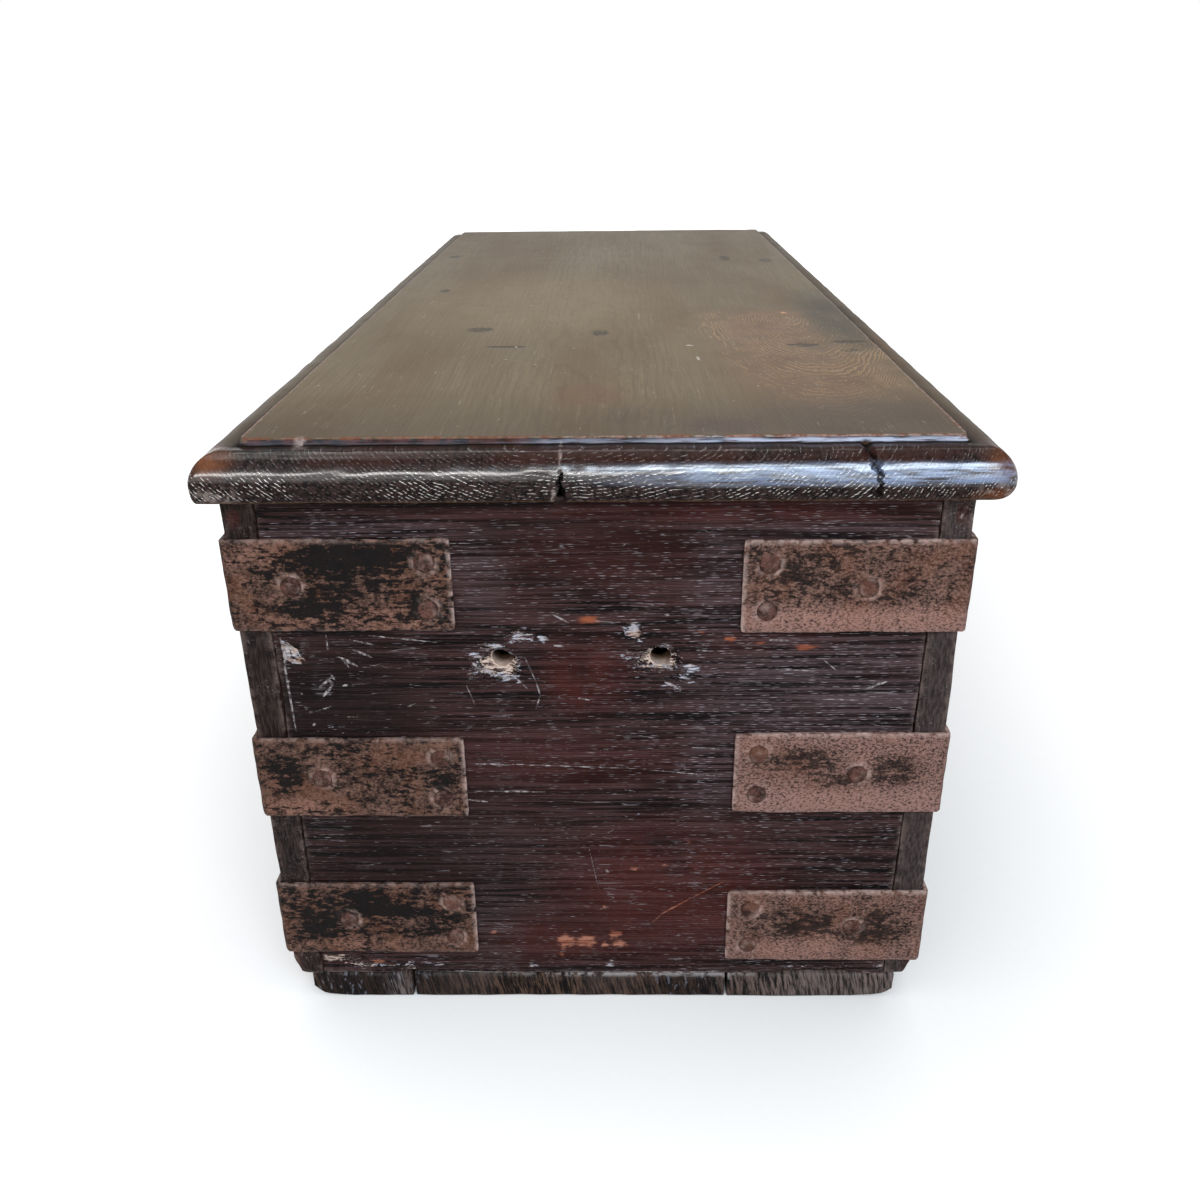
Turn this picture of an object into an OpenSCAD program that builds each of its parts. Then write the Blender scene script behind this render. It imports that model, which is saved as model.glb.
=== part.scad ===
// Plank strongbox with a moulded lid, iron corner straps, hinges at the back and a bolt lock.
// The length lies along X, the front faces -Y and +Z is up. The origin is the middle of the
// lid's outline on the surface that the box stands on.

/* [Body] */
// Length of the body over its end boards
body_l = 795; // [600:5:1000]
// Depth of the body over its front and back boards
body_d = 330; // [300:5:400]
// Height of the four boards
board_h = 270; // [240:1:340]
// Thickness of the four boards
board_t = 15; // [15:0.5:22]
// Height of the wear on the long boards' lower outer edges
edge_wear_h = 8; // [2:0.5:12]
// Depth of the wear on the long boards' lower outer edges
edge_wear_d = 3.5; // [1:0.5:5]

/* [Base] */
// Thickness of the base planks
base_t = 16; // [12:0.5:20]
// Distance of the base's long edges in from the body's faces
base_inset = 9; // [4:0.5:10]
// Width of the front base plank
base_front_w = 89; // [60:1:110]
// Width of the back base plank
base_back_w = 54; // [40:1:80]
// Open joint between two base planks
plank_gap = 1; // [0.5:0.1:2]
// Width of the worn bevel on the base's lower long edges
base_wear = 5; // [2:0.5:6]

/* [Lid] */
// Thickness of the lid at its raised panel
lid_t = 24; // [22:0.5:30]
// Overhang of the lid at each end
lid_over_end = 11; // [8:0.5:20]
// Overhang of the lid at the front
lid_over_front = 13.5; // [8:0.5:20]
// Overhang of the lid at the back
lid_over_back = 8.5; // [8.5:0.5:12]
// Width of the moulding from the lid's edge to its raised panel
moulding_w = 19.4; // [16:0.2:26]
// Height of the step up to the raised panel
step_h = 3.5; // [2:0.1:5]
// Radius of the round on the lid's lower edge
under_r = 9; // [8:0.1:10]
// Radius on the lid's worn corners, seen from above
lid_corner_r = 7; // [2:0.5:12]
// Gap between the closed lid and the boards
lid_gap = 0.3; // [0.2:0.05:0.5]
// Distance of the lid's main split behind the middle of the body
split_back = 15; // [-60:1:60]
// Width of the main split at the lid's lower edge
split_w = 3.4; // [1:0.1:5]
// Height that the main split reaches up the moulding
split_h = 14; // [6:0.5:18]
// Length that the main split runs along the lid's underside
split_l = 70; // [30:5:150]
// Distance of the small split in front of the middle of the body
check_front = 118; // [80:1:130]
// Width of the small split at the lid's lower edge
check_w = 1.4; // [0.6:0.1:3]

/* [Corner straps] */
// Height of a strap, the width of its bar
strap_h = 45; // [38:1:50]
// Thickness of a strap
strap_t = 2.5; // [1.5:0.1:4]
// Reach of a strap along the end board, from the body's corner
strap_end_l = 100; // [85:1:120]
// Reach of a strap along the front or back board, from the body's corner
strap_side_l = 100; // [85:1:130]
// Radius on the corners of a strap's tips
strap_tip_r = 3; // [1:0.5:6]
// Height of the bottom row's middle above the boards' lower edges
strap_low_up = 36.5; // [32:0.5:42]
// Distance of the middle row's middle below halfway between the other two rows
strap_mid_drop = 5; // [-10:0.5:15]
// Distance of the top row's middle below the boards' upper edges
strap_top_down = 42.5; // [40:0.5:50]

/* [Nails] */
// Radius of a strap nail's domed head
head_r = 4.75; // [3.5:0.05:6]
// Height of a strap nail's domed head
head_h = 1.6; // [1:0.1:2.5]
// Radius of a strap nail's shank
shank_r = 1.6; // [1:0.1:2]
// Distance of the outer nails from a strap's tip
nail_tip_in = 11.5; // [9:0.5:15]
// Distance between the two outer nails of a strap
nail_pair = 23.2; // [18:0.2:26]
// Distance of a strap's single nail from the body's corner
nail_corner_in = 36; // [32:0.5:40]
// Wood left between a nail's point and the board's other face
point_cover = 2; // [1:0.5:4]
// Radius of the small board nails' heads
brad_head_r = 3.2; // [2.5:0.1:4]
// Length of the small board nails past the first board
brad_bite = 12; // [8:0.5:16]

/* [Handle holes] */
// Radius of the holes left by the carrying handles
handle_r = 5; // [3:0.25:8]
// Distance between a handle's two holes
handle_pitch = 73.7; // [60:0.1:90]
// Distance of the holes below the boards' upper edges
handle_down = 80; // [74:1:90]
// Distance of the pair's middle behind the end board's middle
handle_back = 7.75; // [-10:0.25:10]

/* [Hinges] */
// Distance of each hinge's middle from the box's middle
hinge_x = 235; // [120:1:250]
// Width of a hinge
hinge_w = 45; // [36:1:60]
// Thickness of the leaves
leaf_t = 1.9; // [1.5:0.1:2.2]
// Length of the leaf on the back board
leaf_body_l = 74; // [60:1:110]
// Length of the leaf under the lid, from the back board's outer face
leaf_lid_l = 96; // [70:1:130]
// Length of the cut corners at the leaves' tips
leaf_cut = 9; // [3:0.5:14]
// Radius of the knuckles
knuckle_r = 4; // [3.5:0.1:4]
// Radius of the hinge pins
hinge_pin_r = 1.9; // [1.5:0.1:2]
// Running clearance round the pins
pin_clear = 0.05; // [0.02:0.01:0.1]

/* [Lock] */
// Width of the lock plate
lock_w = 112; // [108:1:130]
// Height of the lock plate
lock_h = 70; // [68:1:90]
// Thickness of the lock plate
lock_t = 2; // [1.5:0.1:3]
// Depth of the lock's mortise in the front board
mortise_d = 10.5; // [10:0.1:12]
// Height of the bolt
bolt_h = 8; // [6:0.5:10]
// Thickness of the bolt
bolt_t = 3.2; // [2.4:0.1:3.4]
// Travel of the bolt
bolt_throw = 12; // [10:0.5:13]
// Distance of the bolt's middle below the boards' top edges
bolt_drop = 18; // [17:0.5:22]
// Distance of the staple to the right of the key pin
staple_x = 30; // [29:0.5:33]
// Thickness of the staple's legs
staple_t = 2; // [1.5:0.1:2.2]
// Width of the staple's legs
staple_w = 6; // [4:0.5:7]
// Radius of the key pin
key_pin_r = 1.5; // [1:0.1:2]
// Radius of the round part of the keyhole
keyhole_r = 3.5; // [3.3:0.1:4.5]
// Depth of the keyhole's slot below the key pin's axis
keyhole_l = 10; // [7:0.5:12]

/* [Hidden] */
$fn = 48;

// Colours: aged oak, its darker end grain, rusted and plain iron
oak = [0.16, 0.08, 0.05];
lid_oak = [0.20, 0.14, 0.09];
base_oak = [0.13, 0.09, 0.07];
rust = [0.33, 0.20, 0.17];
iron = [0.24, 0.22, 0.21];

// Small clearances, and the length by which a cut runs past a face
fit = 0.05;
play = 0.3;
past = 1;

// Faces and heights of the body
y_mid = (lid_over_front - lid_over_back) / 2;
y_front = y_mid - body_d / 2;
y_back = y_mid + body_d / 2;
y_front_in = y_front + board_t;
y_back_in = y_back - board_t;
x_end = body_l / 2;
z_board = base_t;
z_top = base_t + board_h;
z_lid = z_top + lid_gap;

// Lid: outline and the radius of the moulding's upper round
lid_l = body_l + 2 * lid_over_end;
lid_d = body_d + lid_over_front + lid_over_back;
nose_r = lid_t - step_h - under_r;

// Straps: levels from the bottom up, and how far each hand-fitted strap and its single nail
// lie from their row's height and place, at the front and at the back corners
LOW = 0;
MID = 1;
TOP = 2;
strap_low_z = z_board + strap_low_up;
strap_top_z = z_top - strap_top_down;
strap_mid_z = (strap_low_z + strap_top_z) / 2 - strap_mid_drop;
strap_z = [strap_low_z, strap_mid_z, strap_top_z];
front_rise = [-2.5, 1.2, -0.5];
back_rise = [2.5, -1, 1];
front_nail_out = [-1, 4.5, 8];
back_nail_out = [-2, -6, -8.5];

// Nails: lengths under the head, and the thin brads' radius
strap_nail_l = strap_t + board_t - point_cover;
leaf_nail_l = leaf_t + board_t - point_cover;
lid_nail_l = leaf_t + lid_t - step_h - point_cover;
lock_nail_l = lock_t + board_t - point_cover;
point_l = 4;
brad_r = 1.3;
brad_head_h = 0.8;
board_nail_l = board_t + 2 * brad_bite;
base_nail_l = base_t + brad_bite;

// Hinges: the pin's axis, just behind the back board and under the lid's rounded edge
axis_y = y_back + knuckle_r + play;
round_y = y_mid + body_d / 2 + lid_over_back - under_r;
axis_reach = knuckle_r + play + under_r;
axis_z = z_lid + under_r - sqrt(axis_reach * axis_reach - pow(axis_y - round_y, 2)) - play / 2;
knuckle_l = (hinge_w - 2 * play) / 3;
pin_head_l = 1.2;
pin_head_r = hinge_pin_r + 1.2;

// Lock: places measured from the key pin, in the mortise behind the plate
mortise_y = y_front_in - mortise_d;
lock_mid_y = y_front_in - mortise_d / 2;
bolt_z = z_top - bolt_drop;
mortise_w = 96;
mortise_roof = 8;
mortise_h = 56;
staple_leg_gap = bolt_t + 2 * 0.4;
staple_out = staple_leg_gap + 2 * staple_t;
staple_eye_low = bolt_z - bolt_h / 2 - 1.5;
staple_plate_l = 44;
staple_plate_t = 2;
staple_plate_w = staple_out + 1;
staple_slot_w = staple_w + 2.4;
bolt_rest_tip = staple_x - staple_w / 2 - 3;
bolt_l = 69;
guide_w = 8;
guide_t = 1.8;
guide_x = [-34, 12];
notch_w = 8;
notch_d = 3;
key_z = bolt_z - bolt_h / 2 - 9;
keyhole_slot_w = 3.2;
spring_r = 60;
spring_t = 1;
spring_l = 34;
spring_x = -4;
spring_w = 3;
lock_nail_x = lock_w / 2 - 4;
lock_nail_dz = [10, 60];

// Runs its children in the corner named by sx (-1 left, 1 right) and sy (-1 front, 1 back);
// the children are drawn for the right back corner of a body centred on the Z axis
module corner(sx, sy) {
    translate([0, y_mid, 0])
        mirror_if(sx < 0, [1, 0, 0]) mirror_if(sy < 0, [0, 1, 0]) children();
}

module mirror_if(on, across) {
    if (on) mirror(across) children();
    else children();
}

// A hand-made nail with its head's seat at z = 0 and its point down
module nail(length, r = shank_r, cap_r = head_r, cap_h = head_h) {
    dome_r = (cap_r * cap_r + cap_h * cap_h) / (2 * cap_h);
    intersection() {
        translate([0, 0, cap_h - dome_r]) sphere(dome_r);
        cylinder(r = cap_r + past, h = cap_h + past);
    }
    translate([0, 0, point_l - length]) cylinder(r = r, h = length - point_l);
    translate([0, 0, -length]) cylinder(r1 = r / 3, r2 = r, h = point_l);
}

// A small nail whose flat head lies in the wood
module brad(length) {
    translate([0, 0, -brad_head_h]) cylinder(r = brad_head_r, h = brad_head_h);
    translate([0, 0, point_l - length]) cylinder(r = brad_r, h = length - point_l - brad_head_h);
    translate([0, 0, -length]) cylinder(r1 = brad_r / 3, r2 = brad_r, h = point_l);
}

// The holes that the two nails need
module nail_hole(length, r = shank_r) {
    translate([0, 0, -length - fit]) cylinder(r = r + fit, h = length + fit + past);
}

module brad_hole(length) {
    translate([0, 0, -length - fit]) cylinder(r = brad_r + fit, h = length + fit + past);
    translate([0, 0, -brad_head_h]) cylinder(r = brad_head_r + fit, h = brad_head_h + past);
}

// One arm of a strap, flat: its corner at u = 0, its tip at -reach
module strap_arm(reach) {
    linear_extrude(strap_t) {
        translate([-reach + strap_tip_r, 0]) square([reach - strap_tip_r, strap_h]);
        translate([-reach, strap_tip_r]) square([strap_tip_r * 2, strap_h - 2 * strap_tip_r]);
        for (v = [strap_tip_r, strap_h - strap_tip_r])
            translate([-reach + strap_tip_r, v]) circle(strap_tip_r);
    }
}

// Height of a strap's lower edge, and its single nail's distance from the corner
function strap_base_z(sy, level) =
    strap_z[level] + (sy < 0 ? front_rise : back_rise)[level] - strap_h / 2;
function single_nail_in(sy, level) =
    nail_corner_in + (sy < 0 ? front_nail_out : back_nail_out)[level];

// Places of a strap's nails on an arm of the given reach: [from the corner, up]
function arm_nails(reach, sy, level) = [
    [reach - nail_tip_in, (strap_h - nail_pair) / 2],
    [reach - nail_tip_in, (strap_h + nail_pair) / 2],
    [single_nail_in(sy, level), strap_h / 2]
];

// Runs its children at each nail of a strap, pointing out of the strap's face
module at_strap_nails(sy, level) {
    z = strap_base_z(sy, level);
    for (p = arm_nails(strap_end_l, sy, level))
        translate([x_end + strap_t, body_d / 2 - p[0], z + p[1]]) rotate([0, 90, 0]) children();
    for (p = arm_nails(strap_side_l, sy, level))
        translate([x_end - p[0], body_d / 2 + strap_t, z + p[1]]) rotate([-90, 0, 0]) children();
}

module strap(sx, sy, level) {
    color(rust) corner(sx, sy) difference() {
        translate([0, 0, strap_base_z(sy, level)]) {
            translate([x_end, body_d / 2, 0]) rotate([90, 0, 90]) strap_arm(strap_end_l);
            translate([x_end, body_d / 2 + strap_t, 0]) rotate([90, 0, 0]) strap_arm(strap_side_l);
            intersection() {
                translate([x_end, body_d / 2, 0]) cylinder(r = strap_t, h = strap_h);
                translate([x_end, body_d / 2, 0]) cube([strap_t, strap_t, strap_h]);
            }
        }
        at_strap_nails(sy, level) nail_hole(strap_nail_l);
    }
}

module strap_nails(sx, sy) {
    color(rust) corner(sx, sy)
        for (level = [LOW, MID, TOP]) at_strap_nails(sy, level) nail(strap_nail_l);
}

// Holes of the strap nails at one corner, cut in whichever board they run into
module strap_nail_holes(sx, sy) {
    corner(sx, sy)
        for (level = [LOW, MID, TOP]) at_strap_nails(sy, level) nail_hole(strap_nail_l);
}

// Nails through the long boards into the end boards, between and above the straps
board_nail_z = [
    (strap_low_z + strap_mid_z) / 2,
    (strap_mid_z + strap_top_z) / 2,
    z_top - (z_top - strap_top_z - strap_h / 2) / 2
];

module at_board_nails() {
    for (sx = [-1, 1], sy = [-1, 1], z = board_nail_z)
        corner(sx, sy) translate([x_end - board_t / 2, body_d / 2, z]) rotate([-90, 0, 0]) children();
}

// Base planks: the joints' places across the box
base_y0 = y_front + base_inset;
base_y3 = y_back - base_inset;
base_y1 = base_y0 + base_front_w;
base_y2 = base_y3 - base_back_w;
plank_nail_in = 14;

// Nails up through the base into the end boards, two in each end of a plank
module at_base_nails() {
    planks = [[base_y0, base_y1], [base_y1 + plank_gap, base_y2 - plank_gap], [base_y2, base_y3]];
    for (sx = [-1, 1], p = planks, y = [p[0] + plank_nail_in, p[1] - plank_nail_in])
        translate([sx * (x_end - board_t / 2), y, 0]) rotate([180, 0, 0]) children();
}

// Hinges: nails' places on the leaves, as distances along the leaf and from its middle
leaf_end_in = 12;
function leaf_nails(length) = [
    [length - leaf_end_in, -nail_pair / 2],
    [length - leaf_end_in, nail_pair / 2],
    [length / 2, 0]
];

module at_body_leaf_nails() {
    for (sx = [-1, 1], p = leaf_nails(leaf_body_l))
        translate([sx * hinge_x + p[1], y_back + leaf_t, axis_z - p[0]]) rotate([-90, 0, 0]) children();
}

module at_lid_leaf_nails() {
    for (sx = [-1, 1], p = leaf_nails(leaf_lid_l))
        translate([sx * hinge_x + p[1], y_back - p[0], z_lid - leaf_t]) rotate([180, 0, 0]) children();
}

module at_lock_nails() {
    for (sx = [-1, 1], dz = lock_nail_dz)
        translate([sx * lock_nail_x, y_front_in + lock_t, z_top - dz]) rotate([-90, 0, 0]) children();
}

module at_staple_nails() {
    for (sx = [-1, 1])
        translate([staple_x + sx * (staple_plate_l / 2 - 6), lock_mid_y, z_lid])
            rotate([180, 0, 0]) children();
}

// A long board's section, outer face on the left: worn away along the lower outer edge
module long_board_blank() {
    rotate([90, 0, 90]) linear_extrude(body_l)
        polygon([
            [edge_wear_d, 0], [board_t, 0], [board_t, board_h],
            [0, board_h], [0, edge_wear_h]
        ]);
}

module front_board() {
    color(oak) difference() {
        translate([-x_end, y_front, z_board]) long_board_blank();
        strap_nail_holes(-1, -1);
        strap_nail_holes(1, -1);
        at_board_nails() brad_hole(board_nail_l);
        at_lock_nails() nail_hole(lock_nail_l);
        translate([-mortise_w / 2, mortise_y, z_top - mortise_roof - mortise_h])
            cube([mortise_w, mortise_d + past, mortise_h]);
        translate([staple_x - staple_slot_w / 2, mortise_y, z_top - mortise_roof - past])
            cube([staple_slot_w, mortise_d + past, mortise_roof + 2 * past]);
        keyhole();
    }
}

// Keyhole: a round over a slot, through the wood left in front of the mortise
module keyhole() {
    depth = board_t - mortise_d + 2 * past;
    translate([0, y_front - past, key_z]) rotate([-90, 0, 0]) cylinder(r = keyhole_r, h = depth);
    translate([-keyhole_slot_w / 2, y_front - past, key_z - keyhole_l])
        cube([keyhole_slot_w, depth, keyhole_l]);
}

module back_board() {
    color(oak) difference() {
        translate([-x_end, y_back, z_board]) mirror([0, 1, 0]) long_board_blank();
        strap_nail_holes(-1, 1);
        strap_nail_holes(1, 1);
        at_board_nails() brad_hole(board_nail_l);
        at_body_leaf_nails() nail_hole(leaf_nail_l);
        for (sx = [-1, 1])
            translate([sx * hinge_x - hinge_w / 2 - play, y_back_in - past, z_lid - leaf_t - play])
                cube([hinge_w + 2 * play, board_t + 2 * past, leaf_t + play + past]);
    }
}

// An end board, with the two holes of its lost handle
module end_board(sx) {
    color(oak) difference() {
        translate([sx > 0 ? x_end - board_t : -x_end, y_front_in, z_board])
            cube([board_t, body_d - 2 * board_t, board_h]);
        strap_nail_holes(sx, -1);
        strap_nail_holes(sx, 1);
        at_board_nails() brad_hole(board_nail_l);
        at_base_nails() brad_hole(base_nail_l);
        for (side = [-1, 1])
            translate([sx * x_end, y_mid + handle_back + side * handle_pitch / 2, z_top - handle_down])
                rotate([0, -sx * 90, 0]) handle_hole();
    }
}

// A hole from the board's outer face inwards
module handle_hole() {
    translate([0, 0, -past]) cylinder(r = handle_r, h = board_t + 2 * past);
}

// A base plank between two places across the box, bevelled on its worn outer edge
module base_plank(y0, y1, wear0, wear1) {
    color(base_oak) difference() {
        rotate([90, 0, 90]) translate([0, 0, -x_end]) linear_extrude(body_l)
            polygon([
                [y0, base_t], [y0, wear0], [y0 + wear0, 0],
                [y1 - wear1, 0], [y1, wear1], [y1, base_t]
            ]);
        at_base_nails() brad_hole(base_nail_l);
    }
}

module base_plank_front() {
    base_plank(base_y0, base_y1, base_wear, 0.5);
}

module base_plank_middle() {
    base_plank(base_y1 + plank_gap, base_y2 - plank_gap, 0.5, 0.5);
}

module base_plank_back() {
    base_plank(base_y2, base_y3, 0.5, base_wear);
}

// The lid's section across a width: raised panel, step, flat shelf, and a nose rounded above
// and below
module lid_section(width) {
    nose_y = under_r;
    translate([moulding_w - width / 2, 0]) square([width - 2 * moulding_w, lid_t]);
    translate([nose_r - width / 2, 0]) square([width - 2 * nose_r, lid_t - step_h]);
    translate([under_r - width / 2, 0]) square([width - 2 * under_r, nose_y]);
    for (side = [-1, 1]) {
        intersection() {
            translate([side * (width / 2 - nose_r), nose_y]) circle(nose_r);
            translate([-width / 2, nose_y]) square([width, nose_r]);
        }
        intersection() {
            translate([side * (width / 2 - under_r), nose_y]) circle(under_r);
            translate([-width / 2, 0]) square([width, nose_y]);
        }
    }
}

// The lid from above, its corners worn round
module lid_outline() {
    inner_l = lid_l - 2 * lid_corner_r;
    inner_d = lid_d - 2 * lid_corner_r;
    square([lid_l, inner_d], center = true);
    square([inner_l, lid_d], center = true);
    for (sx = [-1, 1], sy = [-1, 1])
        translate([sx * inner_l / 2, sy * inner_d / 2]) circle(lid_corner_r);
}

// A drying split from the lid's left end: a V in the underside that runs out along the grain
module lid_split(y, width, height, length) {
    translate([-lid_l / 2, y, z_lid]) rotate([0, atan(height / length), 0]) rotate([90, 0, 90])
        translate([0, 0, -past]) linear_extrude(length + 2 * past)
            polygon([[-width / 2, 0], [-width, -height], [width, -height], [width / 2, 0], [0, height]]);
}

// The moulding runs round all four sides, so the lid is where its two sections cross
module lid_board() {
    color(lid_oak) difference() {
        translate([0, 0, z_lid]) intersection() {
            translate([-lid_l / 2, 0, 0]) rotate([90, 0, 90])
                linear_extrude(lid_l) lid_section(lid_d);
            translate([0, lid_d / 2, 0]) rotate([90, 0, 0])
                linear_extrude(lid_d) lid_section(lid_l);
            linear_extrude(lid_t + past) lid_outline();
        }
        lid_split(y_mid + split_back, split_w, split_h, split_l);
        lid_split(y_mid - check_front, check_w, lid_t - step_h, split_l / 2);
        at_lid_leaf_nails() nail_hole(lid_nail_l);
        translate([staple_x - staple_plate_l / 2, lock_mid_y - staple_plate_w / 2, z_lid - past])
            cube([staple_plate_l, staple_plate_w, staple_plate_t + past]);
        at_staple_nails() brad_hole(lid_nail_l);
    }
}

module board_nails() {
    color(iron) at_board_nails() brad(board_nail_l);
}

module base_nails() {
    color(iron) at_base_nails() brad(base_nail_l);
}

// One knuckle from x0 with the given length, without its bore
module knuckle(x0, length) {
    translate([x0, axis_y, axis_z]) rotate([0, 90, 0]) cylinder(r = knuckle_r, h = length);
}

module pin_bore(cx) {
    translate([cx - hinge_w / 2 - past, axis_y, axis_z]) rotate([0, 90, 0])
        cylinder(r = hinge_pin_r + pin_clear, h = hinge_w + 2 * past);
}

// A leaf's flat bar, from its knuckle's end at 0 down to its tip with cut corners
module leaf_blank(length) {
    linear_extrude(leaf_t)
        polygon([
            [-hinge_w / 2, 0], [-hinge_w / 2, leaf_cut - length], [leaf_cut - hinge_w / 2, -length],
            [hinge_w / 2 - leaf_cut, -length], [hinge_w / 2, leaf_cut - length], [hinge_w / 2, 0]
        ]);
}

// The leaf on the back board, with the two outer knuckles
module body_leaf(cx) {
    color(rust) difference() {
        union() {
            translate([cx, y_back + leaf_t, axis_z - knuckle_r - play]) rotate([90, 0, 0])
                leaf_blank(leaf_body_l - knuckle_r - play);
            for (x0 = [cx - hinge_w / 2, cx + hinge_w / 2 - knuckle_l]) {
                knuckle(x0, knuckle_l);
                translate([x0, y_back, axis_z - knuckle_r - play - fit])
                    cube([knuckle_l, leaf_t, knuckle_r + play]);
            }
        }
        pin_bore(cx);
        at_body_leaf_nails() nail_hole(leaf_nail_l);
    }
}

// The leaf under the lid, with the middle knuckle
module lid_leaf(cx) {
    x0 = cx - knuckle_l / 2;
    color(rust) difference() {
        union() {
            translate([cx, y_back - play, z_lid - leaf_t]) leaf_blank(leaf_lid_l - play);
            knuckle(x0, knuckle_l);
            translate([x0, y_back - play - fit, z_lid - leaf_t])
                cube([knuckle_l, axis_y - y_back + play + fit, leaf_t]);
        }
        pin_bore(cx);
        at_lid_leaf_nails() nail_hole(lid_nail_l);
    }
}

// The pin, headed over at both ends
module hinge_pin(cx) {
    color(iron) translate([cx - hinge_w / 2 - pin_head_l, axis_y, axis_z]) rotate([0, 90, 0]) {
        cylinder(r = hinge_pin_r, h = hinge_w + 2 * pin_head_l);
        cylinder(r = pin_head_r, h = pin_head_l);
        translate([0, 0, hinge_w + pin_head_l]) cylinder(r = pin_head_r, h = pin_head_l);
    }
}

module hinge_nails_body() {
    color(rust) at_body_leaf_nails() nail(leaf_nail_l);
}

module hinge_nails_lid() {
    color(rust) at_lid_leaf_nails() nail(lid_nail_l);
}

// The lock's plate on the inside of the front board, with the bolt's two guides and the key pin
module lock_plate() {
    slot_h = bolt_h + 2 * play;
    slot_t = bolt_t + 2 * play;
    guide_y = lock_mid_y - slot_t / 2 - guide_t;
    color(iron) difference() {
        union() {
            translate([-lock_w / 2, y_front_in, z_top - lock_h]) cube([lock_w, lock_t, lock_h]);
            for (x0 = guide_x)
                translate([x0, guide_y, bolt_z - slot_h / 2 - guide_t])
                    cube([guide_w, y_front_in - guide_y + fit, slot_h + 2 * guide_t]);
            translate([0, y_front_in + fit, key_z]) rotate([90, 0, 0])
                cylinder(r = key_pin_r, h = mortise_d - 2);
        }
        for (x0 = guide_x)
            translate([x0 - past, lock_mid_y - slot_t / 2, bolt_z - slot_h / 2])
                cube([guide_w + 2 * past, slot_t, slot_h]);
        at_lock_nails() nail_hole(lock_nail_l);
    }
}

// The bolt, drawn back, with the notch that the key's bit pushes in
module lock_bolt() {
    color(iron) difference() {
        translate([bolt_rest_tip - bolt_l, lock_mid_y - bolt_t / 2, bolt_z - bolt_h / 2])
            cube([bolt_l, bolt_t, bolt_h]);
        translate([-notch_w - 2, lock_mid_y - bolt_t / 2 - past, bolt_z - bolt_h / 2 - past])
            cube([notch_w, bolt_t + 2 * past, notch_d + past]);
    }
}

// The flat bowed spring over the bolt, on a foot against the plate
module lock_spring() {
    low_z = bolt_z + bolt_h / 2 + play;
    foot_x = spring_x - spring_l / 2;
    color(iron) {
        translate([spring_x, lock_mid_y + spring_w / 2, low_z + spring_t + spring_r])
            rotate([90, 0, 0]) linear_extrude(spring_w) intersection() {
                difference() {
                    circle(spring_r + spring_t);
                    circle(spring_r);
                }
                translate([-spring_l / 2, -spring_r - 2 * spring_t]) square([spring_l, spring_r / 2]);
            }
        translate([foot_x, lock_mid_y, low_z + spring_t])
            cube([spring_t * 2, y_front_in - lock_mid_y, spring_w]);
    }
}

module lock_nails() {
    color(iron) at_lock_nails() nail(lock_nail_l);
}

// The staple under the lid: a plate let into the wood, and a loop that the bolt goes through
module lid_staple() {
    leg_h = z_lid - staple_eye_low + staple_t;
    color(iron) difference() {
        union() {
            translate([staple_x - staple_plate_l / 2, lock_mid_y - staple_plate_w / 2, z_lid])
                cube([staple_plate_l, staple_plate_w, staple_plate_t]);
            translate([staple_x - staple_w / 2, lock_mid_y - staple_out / 2, z_lid - leg_h])
                cube([staple_w, staple_out, leg_h + fit]);
        }
        translate([staple_x - staple_w / 2 - past, lock_mid_y - staple_leg_gap / 2, staple_eye_low])
            cube([staple_w + 2 * past, staple_leg_gap, bolt_h + 3]);
        at_staple_nails() brad_hole(lid_nail_l);
    }
}

module staple_nails() {
    color(iron) at_staple_nails() brad(lid_nail_l);
}

front_board();
back_board();
end_board(-1);  // left_end_board
end_board(1);  // right_end_board
base_plank_front();
base_plank_middle();
base_plank_back();
lid_board();
strap(-1, -1, LOW);  // strap_front_left_low
strap(-1, -1, MID);  // strap_front_left_mid
strap(-1, -1, TOP);  // strap_front_left_top
strap(1, -1, LOW);  // strap_front_right_low
strap(1, -1, MID);  // strap_front_right_mid
strap(1, -1, TOP);  // strap_front_right_top
strap(-1, 1, LOW);  // strap_back_left_low
strap(-1, 1, MID);  // strap_back_left_mid
strap(-1, 1, TOP);  // strap_back_left_top
strap(1, 1, LOW);  // strap_back_right_low
strap(1, 1, MID);  // strap_back_right_mid
strap(1, 1, TOP);  // strap_back_right_top
strap_nails(-1, -1);  // strap_nails_front_left
strap_nails(1, -1);  // strap_nails_front_right
strap_nails(-1, 1);  // strap_nails_back_left
strap_nails(1, 1);  // strap_nails_back_right
board_nails();
base_nails();
body_leaf(-hinge_x);  // hinge_left_body_leaf
lid_leaf(-hinge_x);  // hinge_left_lid_leaf
hinge_pin(-hinge_x);  // hinge_left_pin
body_leaf(hinge_x);  // hinge_right_body_leaf
lid_leaf(hinge_x);  // hinge_right_lid_leaf
hinge_pin(hinge_x);  // hinge_right_pin
hinge_nails_body();
hinge_nails_lid();
lock_plate();
lock_bolt();
lock_spring();
lock_nails();
lid_staple();
staple_nails();
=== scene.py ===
import math

import bmesh
import bpy
import numpy as np
from mathutils import Matrix, Vector, noise


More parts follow.
